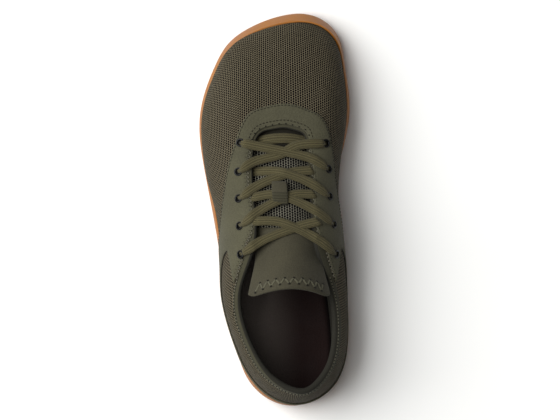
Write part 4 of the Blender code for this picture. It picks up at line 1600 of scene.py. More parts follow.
@dataclass
class Laces(Assembly):
    """Flat lace whose crossings end in the eyelets, and the loop on the tongue."""

    tongue: Tongue
    eyelets: Eyelets
    width: float = 6.8 * MM
    thick: float = 1.9 * MM
    clear: float = 0.15 * MM
    sides: int = 20
    pitch: float = 0.8 * MM
    dive: Span = (0.2 * MM, 3.2 * MM)
    pinch: float = 0.55
    first_pinch: float = 0.85
    tuck: float = 5.5 * MM
    bar_along: float = 51.2 * MM
    bar_width: float = 7.6 * MM
    bar_bow: float = 3.6 * MM
    bar_reach: float = 21 * MM
    loop_width: float = 9 * MM
    loop_thick: float = 1.0 * MM
    loop_across: float = -3.4 * MM
    loop_front: float = 19.8 * MM
    loop_back: float = 3.2 * MM
    loop_height: float = 5.4 * MM
    loop_arch: float = 0.3
    loop_rib: float = 0.35 * MM
    loop_ribs_from: float = 0.54
    loop_ribs_to: float = 0.96
    loop_rib_count: int = 16
    loop_squareness: float = 0.35
    loop_edge: float = 0.7
    sag: float = 2.6 * MM
    sag_at: float = 0.6
    crossing_offset: float = 3 * MM
    crossing_reach: float = 7 * MM
    crossing_lift: float = 1.15
    dive_depth: float = 0.9 * MM
    pinch_reach: Span = (0.5 * MM, 7 * MM)
    pinch_swell: float = 0.4
    slope_reach: float = 0.35
    slope_limit: float = 0.6
    braid_length: float = 70.0
    bar_steps: int = 60
    bar_offset: float = 1.2 * MM

    def _plan(self, strand: Strand) -> tuple[Array, Array, Array]:
        """Plan of one strand.

        Args:
            strand: Row of the strand table.

        Returns:
            Plan points at an even pitch, and the places of the eyelets at its start and end.
        """
        seats = self.eyelets.seats()
        first, _ = seats[strand.start, strand.row]
        last, _ = seats[strand.start.other, strand.row + 1]
        sign = strand.start.value
        enter = np.array([sign * strand.enter, strand.enter_along]) * MM + self.last.shift[:2]
        turn = np.array([strand.turn_across, strand.turn_along]) * MM + self.last.shift[:2]
        begin = first[:2] if strand.row == 0 else enter + np.array([sign * self.tuck, 0])
        third = turn + (last[:2] - turn) * self.sag_at + np.array([0, self.sag])
        corners = np.array([begin, enter, turn, third, last[:2]])
        at = np.linspace(0, len(corners) - 1, 200)
        return even_path(open_spline(corners, at), self.pitch), first, last

    def _strand(self, bm: BMesh, strand: Strand, tongue_top: Ground, tops: Ground) -> None:
        """Adds one strand, which lies on what is under it and ends in its eyelet."""
        plan, first, last = self._plan(strand)
        sign = strand.start.value
        enter = (sign * strand.enter * MM) + self.last.shift[0]
        under = (sign * (plan[:, 0] - enter) > 0) & (strand.row > 0)
        low, high = tongue_top.heights(plan), tops.heights(plan)
        rest = np.where(under, low, high)
        to_end = np.linalg.norm(plan - last[:2], axis=1)
        to_start = np.linalg.norm(plan - first[:2], axis=1) if strand.row == 0 else np.full(len(plan), 1.0)
        away = np.minimum(to_end, to_start)
        lift = self.thick / 2 + self.clear + self.last.seat_gap
        crossing = bump(plan[:, 0], strand.turn_across * MM + self.crossing_offset, self.crossing_reach)
        rest = rest + lift + (crossing * self.thick * self.crossing_lift if strand.on_top else 0)
        run = np.arange(len(plan)) * self.pitch
        heights = np.maximum(soften(taut(run, rest), 7), rest)
        sunk = np.where(to_end < to_start, last[2], first[2])
        sink = 1 - smoothstep(away, *self.dive)
        heights = heights * (1 - sink) + (sunk - self.dive_depth) * sink
        path = np.column_stack([plan, heights])
        above = self._above(path, tops, tongue_top, under)
        pinch = np.where(to_start < to_end, self.first_pinch, self.pinch)
        narrow = pinch + (1 - pinch) * smoothstep(away, *self.pinch_reach)
        half_thick = self.thick / 2 * (2 - narrow) ** self.pinch_swell
        add_tube(bm, path, above, self.width / 2 * narrow, half_thick, self.sides)

    def _above(self, path: Array, tops: Ground, tongue_top: Ground, under: Array) -> Array:
        """Direction away from the ground along a path, from the ground's slope across it."""
        ahead = unit(np.gradient(path, axis=0) * np.array([1, 1, 0]))
        across = np.stack([-ahead[:, 1], ahead[:, 0], np.zeros(len(path))], axis=1)
        step = self.width * self.slope_reach
        slopes = []
        for point, way, hidden in zip(path, across, under):
            ground = tongue_top if hidden else tops
            left = ground.height(*(point + way * step)[:2])
            right = ground.height(*(point - way * step)[:2])
            slopes.append(np.clip((left - right) / (2 * step), -self.slope_limit, self.slope_limit))
        lean = soften(np.array(slopes), 21)
        return unit(np.array([0, 0, 1.0]) - across * lean[:, None])

    def _cloth(self, spots: Array, width: float, length: float) -> Array:
        """Cloth places round a tape and along it."""
        return np.stack([np.cos(spots[:, 0] * math.tau) * width / 2 / MM, spots[:, 1] * length], axis=1)

    def build(self, tongue_piece: Object, ground: Sequence[Object]) -> list[Object]:
        """Builds and dresses the bar and the crossings.

        Args:
            tongue_piece: The finished tongue.
            ground: Every finished piece that a strand may lie on.

        Returns:
            The lace's pieces.
        """
        tongue_top, tops = Ground.of([tongue_piece]), Ground.of(ground)
        made = [self._finish("lace_front_bar", self._bar(tongue_top), ["lace_bar"])]
        for row in range(len(EYELET_ROWS) - 1):
            bm = bmesh.new()
            for strand in (s for s in STRANDS if s.row == row):
                self._strand(bm, strand, tongue_top, tops)
            made.append(self._finish(f"lace_pair_{row + 1}", bm, [f"lace_cross_{row + 1}"]))
        made.append(self._loop())
        return made

    def _finish(self, name: str, bm: BMesh, nodes: Sequence[str]) -> Object:
        """Dresses a piece of lace."""
        piece = self.make(name, merge(bm), "lace_braid")
        lay_cloth(piece.data, lambda spots, _points: self._cloth(spots, self.width, self.braid_length))
        return settle(piece, nodes)

    def _bar(self, tongue_top: Ground) -> BMesh:
        """Straight bar between the first eyelets, under the throat's edge at both ends."""
        across = np.linspace(-self.bar_reach, self.bar_reach, self.bar_steps)
        across = across + self.last.shift[0] + self.bar_offset
        bow = self.bar_bow * ((across - across.mean()) / self.bar_reach) ** 2
        plan = np.column_stack([across, self.bar_along - bow])
        path = np.column_stack([plan, tongue_top.heights(plan) + self.thick / 2 + self.clear])
        above = self._above(path, tongue_top, tongue_top, np.ones(self.bar_steps, bool))
        bm = bmesh.new()
        wide, tall = (np.full(self.bar_steps, size / 2) for size in (self.bar_width, self.thick))
        add_tube(bm, path, above, wide, tall, self.sides)
        return bm

    def _loop(self) -> Object:
        """Webbing loop on the tongue that the third crossing runs under."""
        tongue_half = TONGUE_ROWS[3].half_width * MM
        half, middle = self.loop_width / 2 / tongue_half, self.loop_across / tongue_half
        count = self.loop_rib_count

        def place(u: Array, w: Array) -> Array:
            """Point round the tape's section for grid coordinates."""
            along = self.loop_front + (self.loop_back - self.loop_front) * w
            arch = np.sin(np.pi * np.clip(w, 0, 1)) ** self.loop_arch
            arch = self.last.seat_gap + self.loop_height * arch
            ribbed = (w > self.loop_ribs_from) & (w < self.loop_ribs_to)
            arch = arch + np.where(ribbed, self.loop_rib * np.sin(w * count * np.pi) ** 2, 0)
            position = np.array([self.tongue.position(y) for y in along])
            turn = u * math.tau
            side = middle + half * signed_power(np.cos(turn), self.loop_squareness)
            lift = arch + self.loop_thick / 2 * (1 + signed_power(np.sin(turn), self.loop_edge))
            return self.tongue.point(position, side) + self.tongue.normal(position, side) * lift[:, None]

        bm = make_sleeve(2 * 8, 144, place)
        piece = self.make("lace_keeper", bm, "tongue_cloth", "loop_tape")
        lay_cloth(piece.data, lambda spots, _points: self._cloth(spots, self.loop_width, count))
        paint_zones(piece.data, lambda spots, _middles: (spots[:, 1] > self.loop_ribs_from).astype(int))
        return settle(piece, ["lace_loop"])


@dataclass
class Sole(Assembly):
    """Gum outsole with a raised rim, a tread of triangular lugs, a smooth island and two zones of ribs."""

    around: int = 360
    rim_top: float = 1.4 * MM
    tread_inset: float = 4.5 * MM
    edge_rise: float = 1.6 * MM
    edge_inset: float = 1.4 * MM
    side_rise: float = 5 * MM
    side_swell: float = 0.3 * MM
    border: float = 6.5 * MM
    border_lean: float = 2.5 * MM
    recess: float = 1.2 * MM
    groove: float = 1.1 * MM
    fore_pitch: float = 10 * MM
    waist_pitch: float = 7.8 * MM
    waist_centre: float = -18 * MM
    waist_reach: float = 62 * MM
    row_slope: float = 0.077
    first_row: float = -136 * MM
    last_row: float = 142 * MM
    lug_step: float = 6.0 * MM
    lug_base: float = 7.5 * MM
    lug_tip: float = 2.1 * MM
    lug_round: float = 0.9 * MM
    lug_least: float = 0.2
    lug_edge: float = 0.25 * MM
    lug_bevel: float = 0.12 * MM
    dimple_rim: float = 0.55
    dimple_floor: float = 0.3
    dimple: float = 0.6 * MM
    island_border: float = 3.2 * MM
    ribs: int = 7
    rib_steps: int = 8
    rib_pitch: float = 5.2 * MM
    rib_depth: float = 0.9 * MM
    edge_middle: Span = (0.55, 0.3)
    edge_lift: float = 0.1 * MM
    wall_rows: int = 21
    crest_share: float = 0.008
    inner_top: float = 0.8
    recess_slant: float = 0.35 * MM
    sharp_deg: float = 50
    lug_sharp_deg: float = 35
    zone_reach: float = 0.2 * MM
    facing_down: float = -0.7
    rib_margin: float = 0.4
    lugs_aside: int = 10
    dimple_least: float = 0.5
    island_floor: float = 0.8 * MM
    island_shares: tuple[float, ...] = (0.0, 0.08, 0.4, 0.75, 0.9, 1.0)
    island_inset: float = 0.3 * MM
    island_half: float = 32 * MM
    rib_foot: float = 0.3

    def _loops(self) -> list[Array]:
        """Loops from the tread's recess round the side to the floor inside the rim."""
        at = ring_positions(self.around)
        edge, outward = self.last.outline(at)
        floor = self.last.ground(edge[:, 1])

        def ring(inset: Array | float, rise: float) -> Array:
            """Loop at an inset from the outline and a rise above the tread."""
            plan = edge - outward * np.broadcast_to(inset, at.shape)[:, None]
            base = self.last.ground(plan[:, 1]) if rise <= self.recess else floor
            return np.column_stack([plan, base + rise])

        rim = self.last.rim_share(at)
        gap = self.last.seat_gap
        rim_outer = self.last.offset(at, rim, gap + self.rim_top)
        rim_inner = self.last.offset(at, rim, gap)
        side = ring(0, self.side_rise)
        swell = (side + rim_outer) / 2
        swell[:, :2] += outward * self.side_swell
        crest = self.last.offset(at, rim + self.crest_share, gap + self.rim_top / 2)
        border = self.border - self.border_lean * outward[:, 0]
        inset_share, rise_share = self.edge_middle
        wall = [ring(self.tread_inset, 0),
                ring(self.tread_inset * inset_share, self.edge_rise * rise_share),
                ring(self.edge_inset, self.edge_rise + self.edge_lift), side, swell, rim_outer]
        rows = np.linspace(0, len(wall) - 1, self.wall_rows)
        smooth = open_spline(np.stack(wall).reshape(len(wall), -1), rows)
        shares = np.linspace(self.inner_top, 0, 5)
        inner = [self.last.offset(at, rim * share, gap) for share in shares]
        inner[-1][:, 2] = self.last.sole_floor + self.last.ground(inner[-1][:, 1])
        return [ring(border + self.recess_slant, self.recess), ring(border, 0),
                *smooth.reshape(self.wall_rows, -1, 3), crest, rim_inner, *inner]

    def _body(self, loops: Sequence[Array]) -> Object:
        """Builds the sole's body without its tread."""
        bm = bmesh.new()
        add_ring(bm, loops)
        add_cap(bm, loops[0], 10, self.last.level(self.recess))
        add_cap(bm, loops[-1], 6, self.last.level(self.last.sole_floor))
        piece = self.make("gum_outsole", merge(bm), "gum_side", "gum_groove", "gum_tread")
        piece.data.set_sharp_from_angle(angle=math.radians(self.sharp_deg))
        centres = np.array([face.center for face in piece.data.polygons])
        facing = np.array([face.normal.z for face in piece.data.polygons])
        rise = centres[:, 2] - self.last.ground(centres[:, 1])
        # Recess floors between the lugs take the darker gum as painted shade; other downward faces take the
        # tread gum.
        zone = np.where(np.abs(rise - self.recess) < self.zone_reach, 1, 2) * (facing < self.facing_down)
        piece.data.polygons.foreach_set("material_index", zone.astype(np.int32))
        return settle(piece, ["outsole"])

    def _stations(self) -> list[float]:
        """Places along the sole of the grooves between rows of lugs."""
        stations, along = [], self.first_row
        while along < self.last_row:
            stations.append(along)
            near = float(bump(along, self.waist_centre, self.waist_reach))
            along += self.fore_pitch + (self.waist_pitch - self.fore_pitch) * near
        return stations

    def _borders(self, along: Array | float, loop: Array) -> tuple[Array, Array]:
        """Lateral and medial border of the recess at places along the sole."""
        half = len(loop) // 2
        lateral = np.interp(along, loop[: half + 1, 1], loop[: half + 1, 0])
        return lateral, np.interp(along, loop[half:, 1][::-1], loop[half:, 0][::-1])

    def _clear(self, spot: tuple[float, float], side: float, loop: Array) -> tuple[float, float]:
        """Moves a corner of a lug into the recess, clear of the ribs and of the island.

        Args:
            spot: Plan place of the corner.
            side: Side of the island on which the lug lies, -1 or 1.
            loop: Edge of the recess.

        Returns:
            The place that the corner may have.
        """
        across, along = spot
        gap = self.groove * 0.1
        along = min(max(along, loop[0, 1] + gap), loop[len(loop) // 2, 1] - gap)
        for zone in RIB_ZONES:
            middle = (zone.across * MM, zone.along * MM)
            away = (across - middle[0], along - middle[1])
            distance, least = math.hypot(*away), (zone.radius + self.rib_margin) * MM
            if distance < least:
                across, along = (m + a * least / distance for m, a in zip(middle, away))
        rows = np.array(ISLAND_ROWS)[::-1] * MM
        margin = self.island_border + self.groove * 0.5
        if rows[0, 0] - margin < along < rows[-1, 0] + margin:
            left = np.interp(along, rows[:, 0], rows[:, 1]) - margin
            right = np.interp(along, rows[:, 0], rows[:, 2]) + margin
            across = min(across, left) if side < 0 else max(across, right)
        lateral, medial = self._borders(along, loop)
        return min(max(across, lateral + gap), medial - gap), along

    def _lug_plans(self, loop: Array) -> list[Array]:
        """Plan corners of every lug, cut to the edge of the recess."""
        plans = []
        stations = self._stations()
        island_middle = float(np.mean([(row.lateral + row.medial) / 2 for row in ISLAND_ROWS])) * MM
        for number, (start, end) in enumerate(zip(stations, stations[1:])):
            height = end - start - self.groove
            for step in range(-self.lugs_aside, self.lugs_aside + 1):
                up = 1 if step % 2 else -1
                across = step * self.lug_step + (number % 2) * self.lug_step * 0.5
                base, tip = self.lug_base / 2, self.lug_tip / 2
                near, far = -up * height / 2, up * height / 2
                corners = ((-base, near), (base, near), (tip, far), (-tip, far))
                side = across - island_middle
                middle = (start + end) / 2
                whole = [(across + x, middle + self.row_slope * (across + x) + y) for x, y in corners]
                plan = np.array([self._clear(spot, side, loop) for spot in whole])
                edges = np.roll(plan, -1, axis=0) - plan
                corner = np.cross(edges, np.roll(edges, -1, axis=0))
                x, y = plan.T
                area = abs(np.dot(x, np.roll(y, 1)) - np.dot(y, np.roll(x, 1))) / 2
                if np.ptp(np.sign(corner)) == 0 and area > self.lug_least * height * (base + tip):
                    plans.append(plan)
        return plans

    def _lugs(self, bm: BMesh, loop: Array) -> None:
        """Adds the triangular lugs, every second one turned, with a dimple in each whole one whose floor
        takes the darker gum as painted shade.
        """
        for plan in self._lug_plans(loop):
            verts = bmesh.ops.create_grid(bm, x_segments=1, y_segments=1, size=0.5)["verts"]
            face = verts[0].link_faces[0]
            for vert, (x, y) in zip((corner.vert for corner in face.loops), plan):
                vert.co = (x, y, float(self.last.ground(y)) + self.recess)
        bm.normal_update()
        bmesh.ops.reverse_faces(bm, faces=[face for face in bm.faces if face.normal.z > 0])
        bmesh.ops.bevel(bm, geom=bm.verts[:], offset=self.lug_round, affect="VERTICES", segments=2,
                        profile=0.5, material=-1)
        tops = bmesh.ops.extrude_discrete_faces(bm, faces=bm.faces[:])["faces"]
        for face in tops:
            bmesh.ops.translate(bm, vec=(0, 0, self.lug_bevel - self.recess), verts=face.verts[:])
        bmesh.ops.inset_individual(bm, faces=tops, thickness=self.lug_edge, depth=self.lug_bevel)
        whole = max(face.calc_area() for face in tops)
        tops = [face for face in tops if face.calc_area() > whole * self.dimple_least]
        for share, sink in ((self.dimple_rim, 0.0), (self.dimple_floor, self.dimple)):
            tops = bmesh.ops.extrude_discrete_faces(bm, faces=tops)["faces"]
            for face in tops:
                space = Matrix.Translation(-face.calc_center_median())
                bmesh.ops.scale(bm, vec=(share, share, 1), space=space, verts=face.verts[:])
                bmesh.ops.translate(bm, vec=(0, 0, sink), verts=face.verts[:])
        # Dimple floors take the darker gum as painted shade.
        for face in tops:
            face.material_index = 1

    def _island(self, bm: BMesh) -> None:
        """Adds the smooth island with its raised border."""
        rows = np.array(ISLAND_ROWS) * MM
        rises = (self.recess, 0.15 * MM, 0.0, 0.0, 0.75 * MM, self.island_floor)

        def ring(share: float, rise: float) -> Array:
            """Loop round the island at a share of the border's width inwards."""
            fine = open_spline(rows, np.linspace(0, len(rows) - 1, 60))
            out = self.island_border * (1 - share) - self.island_inset
            stretch = 1 + out / self.island_half
            middle = fine[:, 0].mean()
            along = middle + (fine[:, 0] - middle) * stretch
            lateral = np.column_stack([fine[:, 1] - out, along])
            medial = np.column_stack([fine[:, 2] + out, along])
            return self.last.grounded(np.vstack([lateral[::-1], medial]), rise)

        loops = [ring(share, rise) for share, rise in zip(self.island_shares, rises)]
        add_ring(bm, loops)
        add_cap(bm, loops[-1], 4, self.last.level(self.island_floor))

    def _ribbed(self, bm: BMesh, zone: RibZone, loop: Array) -> None:
        """Adds a zone of soft ribs round one middle, cut off at the tread's border."""
        turns = np.radians(np.linspace(zone.start_deg, zone.end_deg, 481))
        low, high = loop[0, 1], loop[len(loop) // 2, 1]

        def arc(radius: Array | float, turn: Array) -> tuple[Array, Array]:
            """Plan of points round the zone's middle."""
            return zone.across * MM + radius * np.cos(turn), zone.along * MM + radius * np.sin(turn)

        arcs = []
        for radius in np.linspace(0, zone.radius * MM, self.ribs * self.rib_steps + 1)[1:]:
            x, y = arc(radius, turns)
            lateral, medial = self._borders(y, loop)
            inside = turns[(y > low) & (y < high) & (x > lateral) & (x < medial)]
            if len(inside) > 8:
                crest = 0.5 + 0.5 * math.cos((zone.radius * MM - radius) / self.rib_pitch * math.tau)
                arcs.append((radius, inside[0], inside[-1], self.rib_depth * (1 - crest)))
        arcs.append((arcs[-1][0] + self.groove * self.rib_foot, *arcs[-1][1:3], self.recess))
        table = np.array(arcs)

        def place(u: Array, w: Array) -> Array:
            """Point of the zone for grid coordinates."""
            radius, start, end, rise = table[step_of(u, len(table) - 1)].T
            return self.last.grounded(np.column_stack(arc(radius, start + (end - start) * w)), rise)

        add_grid(bm, len(table) - 1, 48, place)

    def build(self) -> list[Object]:
        """Builds and dresses the body, the lugs, the island and the ribs."""
        loops = self._loops()
        made = [self._body(loops)]
        bm = bmesh.new()
        self._lugs(bm, loops[1])
        made.append(settle(self.make("tread_lugs", bm, "gum_tread", "gum_groove")))
        made[-1].data.set_sharp_from_angle(angle=math.radians(self.lug_sharp_deg))
        bm = bmesh.new()
        self._island(bm)
        for zone in RIB_ZONES:
            self._ribbed(bm, zone, loops[1])
        merge(bm, recalculate=False)
        for face in bm.faces:
            if face.normal.z > 0.05:
                face.normal_flip()
        made.append(settle(self.make("tread_island_and_ribs", bm, "gum_tread")))
        return made


@dataclass
class Insole(Assembly):
    """Thin dark footbed with a cupped edge."""

    around: int = 240
    thick: float = 4 * MM
    ease: float = 1.2 * MM
    edge: float = 1.2 * MM
    cup: float = 1.6 * MM
    wall_gap: float = 0.25 * MM
    chamfer: float = 0.6 * MM
    wall_start: float = 0.6
    probe_end: float = 0.3
    dish_power: float = 0.6
    dish_start: Span = (-139 * MM, -115 * MM)

    def build(self) -> Object:
        """Builds and dresses the insole."""
        at = ring_positions(self.around)
        base = self.last.sole_floor + self.last.seat_gap
        foot = self.last.point(at, np.zeros_like(at))
        _, outward = self.last.outline(at)

        def ring(inset: float, rise: float) -> Array:
            """Loop at an inset from the insole's edge."""
            plan = foot[:, :2] - outward * (self.last.wall + self.ease + inset)
            return self.last.grounded(plan, base + rise)

        def against_wall(rise: float) -> Array:
            """Loop that touches the lining at a rise above the insole's base."""
            probe = np.linspace(0, self.probe_end, 60)
            inside = self.last.offset(at[:, None], probe[None, :], -self.last.wall - self.wall_gap)
            target = foot[:, 2] + rise
            share = np.array([np.interp(z, row, probe) for z, row in zip(target, inside[..., 2])])
            loop = self.last.offset(at, share, -self.last.wall - self.wall_gap)
            loop[:, 2] = np.maximum(loop[:, 2], target)
            return loop

        def dished(plan: Array, share: Array) -> Array:
            """Heights of the footbed, which sinks towards its middle."""
            dish = self.cup * np.sin(np.pi * share) ** self.dish_power
            top = base + self.last.ground(plan[:, 1]) + self.thick
            return top - dish * smoothstep(plan[:, 1], *self.dish_start)

        walls = [against_wall(self.thick * self.wall_start), against_wall(self.thick)]
        loops = [ring(self.chamfer, 0), ring(0, self.chamfer), *walls, ring(self.edge, self.thick)]
        bm = bmesh.new()
        add_ring(bm, loops)
        add_cap(bm, loops[0], 8, self.last.level(base))
        add_cap(bm, loops[-1], 24, dished)
        piece = self.make("insole_pad", merge(bm), "footbed")
        return settle(piece, ["insole"])


@dataclass(frozen=True)
class StitchStyle:
    """Sizes of one kind of stitching; a zigzag has a stitch in each half of its pitch."""

    length: float = 1.6 * MM
    width: float = 0.6 * MM
    height: float = 0.45 * MM
    pitch: float = 2.5 * MM
    # Side of the dark box painted as the shade of a needle hole.
    hole: float = 0.8 * MM


@dataclass
class Stitching(Assembly):
    """Seams of the overlay, the collar and the tongue, stitch by stitch."""

    upper: Upper
    overlay: Overlay
    tongue: Tongue
    edge_seam: StitchStyle = StitchStyle()
    collar_seam: StitchStyle = StitchStyle(1.3 * MM, width=0.75 * MM, height=0.6 * MM, pitch=2.4 * MM)
    lip_seam: StitchStyle = StitchStyle(length=0.95 * MM, width=0.95 * MM, height=0.4 * MM, pitch=4.9 * MM)
    side_seam: StitchStyle = StitchStyle(width=0.5 * MM, pitch=3.0 * MM, hole=0.6 * MM)
    tongue_seam: StitchStyle = StitchStyle(width=1.3 * MM, height=0.9 * MM, pitch=6.7 * MM, hole=1.6 * MM)
    lip_inset: float = 2.0 * MM
    lip_edge_inset: float = 4.5 * MM
    tongue_front: float = -47.6 * MM
    tongue_back: float = -51.4 * MM
    tongue_droop: float = 0.02
    tongue_reach: float = 0.84
    front_sections: Span = (6.45, 11.55)
    stitch_share: float = 0.86
    stitch_bevel: float = 0.16 * MM
    throat_in: float = 1.3 * MM
    throat_out: float = 1.9 * MM
    throat_limit: float = 0.995
    high_lift: float = 0.1 * MM
    low_lift: float = 0.15 * MM
    margin: float = 0.1
    collar_share: float = 0.95

    def _box(
        self, bm: BMesh, centre: Array, ahead: Array, above: Array, size: tuple[float, float, float]
    ) -> None:
        """Adds one box along a direction."""
        matrix = frame_matrix(centre, ahead, above) @ Matrix.Diagonal((*size, 1))
        bmesh.ops.create_cube(bm, size=1, matrix=matrix)

    def _sew(
        self, thread: BMesh, gaps: BMesh | None, points: Array, normals: Array, style: StitchStyle
    ) -> None:
        """Adds a straight row of stitches.

        Args:
            thread: Mesh that takes the stitches.
            gaps: Mesh that takes the needle holes between them, if they show, as dark boxes of painted
                shade.
            points: Path of the seam.
            normals: Direction away from the cloth at each point.
            style: Sizes of the stitches.
        """
        spots = even_path(np.hstack([points, normals]), style.pitch)
        ahead = np.gradient(spots[:, :3], axis=0)
        for spot, way in zip(spots, ahead):
            self._box(thread, spot[:3], way, spot[3:], (style.length, style.width, style.height))
            if gaps is not None:
                centre = spot[:3] + way / 2
                self._box(gaps, centre, way, spot[3:], (style.hole, style.hole, style.height))

    def _zigzag(
        self, thread: BMesh, gaps: BMesh, one: Array, other: Array, above: Array, style: StitchStyle
    ) -> None:
        """Adds a zigzag between two edges.

        Args:
            thread: Mesh that takes the stitches.
            gaps: Mesh that takes the needle holes, as dark boxes of painted shade.
            one: Path of the points on one edge.
            other: Path of the points on the other edge.
            above: Direction away from the cloth at each point.
            style: Sizes of the stitches.
        """
        spots = even_path(np.hstack([(one + other) / 2, one, other, above]), style.pitch / 2)
        ends = [spot[3:6] if number % 2 else spot[6:9] for number, spot in enumerate(spots)]
        for start, end, spot in zip(ends, ends[1:], spots):
            size = (float(np.linalg.norm(end - start)) * self.stitch_share, style.width, style.height)
            self._box(thread, (start + end) / 2, end - start, spot[9:], size)
        ahead = spots[1][:3] - spots[0][:3]
        for end, spot in zip(ends, spots):
            self._box(gaps, end, ahead, spot[9:], (style.hole, style.hole, style.height))

    def _round(self, bm: BMesh) -> BMesh:
        """Rounds every stitch."""
        bmesh.ops.bevel(bm, geom=bm.edges[:], offset=self.stitch_bevel, affect="EDGES", segments=1,
                        profile=0.5, material=-1)
        return bm

    def _run(self, at: Array, share: Array, lift: float) -> tuple[Array, Array]:
        """Path at a lift above the upper, with its normals."""
        normal, _ = self.last.directions(at, share)
        return self.last.offset(at, share, lift), normal

    def _throat(self, thread: BMesh, gaps: BMesh, at: Array, style: StitchStyle) -> None:
        """Adds the zigzag over the overlay's inner edge along part of the throat."""
        overlay = self.overlay
        high = overlay.high(at)
        pace = self.last.pace(at, high)
        top = overlay.seat + overlay.thick + self.high_lift
        one, above = self._run(at, high - self.throat_in / pace, top)
        outer = np.minimum(high + self.throat_out / pace, self.throat_limit)
        other, _ = self._run(at, outer, self.low_lift)
        self._zigzag(thread, gaps, one, other, above, style)

    def build(self) -> list[Object]:
        """Builds and dresses the needle holes, dark boxes of painted shade, and the edge, the light and the
        matching seams.
        """
        overlay = self.overlay
        top = overlay.seat + overlay.thick - overlay.groove + self.low_lift
        dark, edge, light, matching = (bmesh.new() for _ in range(4))
        start, ear = overlay.apex + self.margin, overlay.ear_end + self.margin
        at = np.linspace(start, RING - start, 900)
        inset = overlay.groove_inset / self.last.pace(at, overlay.low(at))
        self._sew(edge, None, *self._run(at, overlay.low(at) + inset, top), self.edge_seam)
        front, back = self.front_sections
        at = np.linspace(front, back, 400)
        pace = self.last.pace(at, overlay.high(at))
        flat = top + overlay.groove
        self._sew(edge, None, *self._run(at, 1 - self.lip_edge_inset / pace, flat), self.edge_seam)
        # Row of dark dots along the lip: painted shade of needle holes.
        self._sew(dark, None, *self._run(at, 1 - self.lip_inset / pace, flat), self.lip_seam)
        for start, end in ((ear, front), (back, RING - ear)):
            self._throat(light, dark, np.linspace(start, end, 400), self.side_seam)
        at = np.linspace(-ear, ear, 500)
        share = 1 - self.upper.roll_width(at) / self.last.pace(at, np.full_like(at, self.collar_share))
        self._sew(light, dark, *self._run(at, share, 0.0), self.collar_seam)
        side = np.linspace(-self.tongue_reach, self.tongue_reach, 160)
        ends = (self.tongue.position(along) for along in (self.tongue_front, self.tongue_back))
        edges = [end + self.tongue_droop * side**2 for end in ends]
        one, other = (self.tongue.point(edge, side) for edge in edges)
        self._zigzag(matching, dark, one, other, self.tongue.normal(edges[0], side), self.tongue_seam)
        made = []
        kinds = (("dark_seams", dark, "dark_thread"), ("edge_seams", edge, "edge_thread"),
                 ("light_seams", light, "light_thread"), ("matching_seams", matching, "matching_thread"))
        for name, bm, finish in kinds:
            made.append(settle(self.make(name, self._round(bm), finish)))
        return made


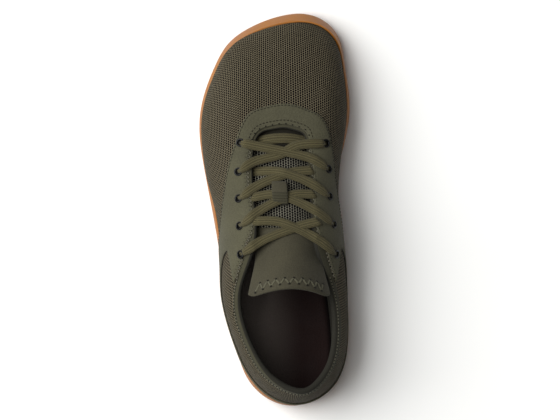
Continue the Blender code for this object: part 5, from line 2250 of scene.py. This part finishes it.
@dataclass
class Studio:
    """Pale floor, soft light and the camera at the photograph's angle."""

    distance: float = 2.4
    lean_deg: float = 6.0
    frame_width: float = 0.4
    target: Vector = field(default_factory=lambda: Vector((0, 0, 0.045)))
    floor_size: float = 6.0
    floor_colour: Colour = (0.92, 0.92, 0.90)
    world_strength: float = 0.075
    key_energy: float = 228.0
    top_energy: float = 18.0
    key_place: tuple[float, float, float] = (-2.6, 0.65, 2.95)
    key_size: float = 3.2
    top_place: tuple[float, float, float] = (-0.7, 0.1, 2.45)
    top_size: float = 1.2
    floor_drop: float = 0.3 * MM
    floor_roughness: Span = (0.86, 0.94)
    sensor: float = 36.0

    def camera(self) -> Object:
        """Makes the camera over the shoe, leaning a little to the lateral side."""
        data = bpy.data.cameras.new("photo_camera")
        data.sensor_width = self.sensor
        data.lens = self.sensor * self.distance / self.frame_width
        lens = bpy.data.objects.new("photo_camera", data)
        lean = math.radians(self.lean_deg)
        lens.location = self.target + Vector((-math.sin(lean), 0, math.cos(lean))) * self.distance
        lens.rotation_euler = (0, -lean, 0)
        bpy.context.scene.collection.objects.link(lens)
        bpy.context.scene.camera = lens
        return lens

    def floor(self) -> Object:
        """Makes the pale floor."""
        bm = bmesh.new()
        bmesh.ops.create_grid(bm, x_segments=8, y_segments=8, size=self.floor_size / 2)
        bmesh.ops.translate(bm, vec=(0, 0, -self.floor_drop), verts=bm.verts[:])
        finish, pen, shader = new_material("studio_floor", self.floor_colour, {"Roughness": 0.9})
        settings = {"Vector": pen.own_points(), "Scale": 3.0, "Detail": 2.0}
        noise = pen.add("ShaderNodeTexNoise", settings)
        rough = pen.spread(noise.outputs["Fac"], *self.floor_roughness)
        pen.link(rough, shader.inputs["Roughness"])
        made = make_object("studio_floor", bm, [finish])
        return made

    def light(self, name: str, place: tuple[float, float, float], size: float, energy: float) -> Object:
        """Makes an area light that faces the shoe.

        Args:
            name: Name of the light.
            place: Where it hangs, in metres.
            size: Side of the lit square.
            energy: Power in watts.

        Returns:
            The light's object.
        """
        data = bpy.data.lights.new(name, "AREA")
        data.size = size
        data.energy = energy
        made = bpy.data.objects.new(name, data)
        made.location = place
        made.rotation_euler = (self.target - Vector(place)).to_track_quat("-Z", "Y").to_euler()
        bpy.context.scene.collection.objects.link(made)
        return made

    def build(self) -> None:
        """Makes the camera, the floor and the lights."""
        scene = bpy.context.scene
        scene.view_settings.view_transform = "Standard"
        self.camera()
        self.floor()
        world = bpy.data.worlds.new("studio_world")
        world.use_nodes = True
        world.node_tree.nodes["Background"].inputs["Color"].default_value = (1, 1, 1, 1)
        world.node_tree.nodes["Background"].inputs["Strength"].default_value = self.world_strength
        scene.world = world
        self.light("key_light", self.key_place, self.key_size, self.key_energy)
        self.light("top_light", self.top_place, self.top_size, self.top_energy)


def write_sizes() -> None:
    """Updates the view layer."""
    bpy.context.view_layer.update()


def main() -> None:
    """Builds the studio and every piece of the shoe."""
    logging.basicConfig(level=logging.INFO, format="%(name)s: %(message)s")
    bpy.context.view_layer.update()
    Studio().build()
    finishes = Finishes(Effects())
    last = Last()
    overlay = Overlay(last, finishes)
    tongue = Tongue(last, finishes)
    eyelets = Eyelets(last, finishes)
    upper = Upper(last, finishes)
    upper_piece = upper.build()
    overlay_piece = overlay.build()
    overlay.piping()
    tongue_piece = tongue.build()
    eyelets.build()
    Laces(last, finishes, tongue, eyelets).build(tongue_piece, [upper_piece, overlay_piece, tongue_piece])
    Sole(last, finishes).build()
    Insole(last, finishes).build()
    Stitching(last, finishes, upper, overlay, tongue).build()
    write_sizes()


if __name__ == "__main__":
    main()
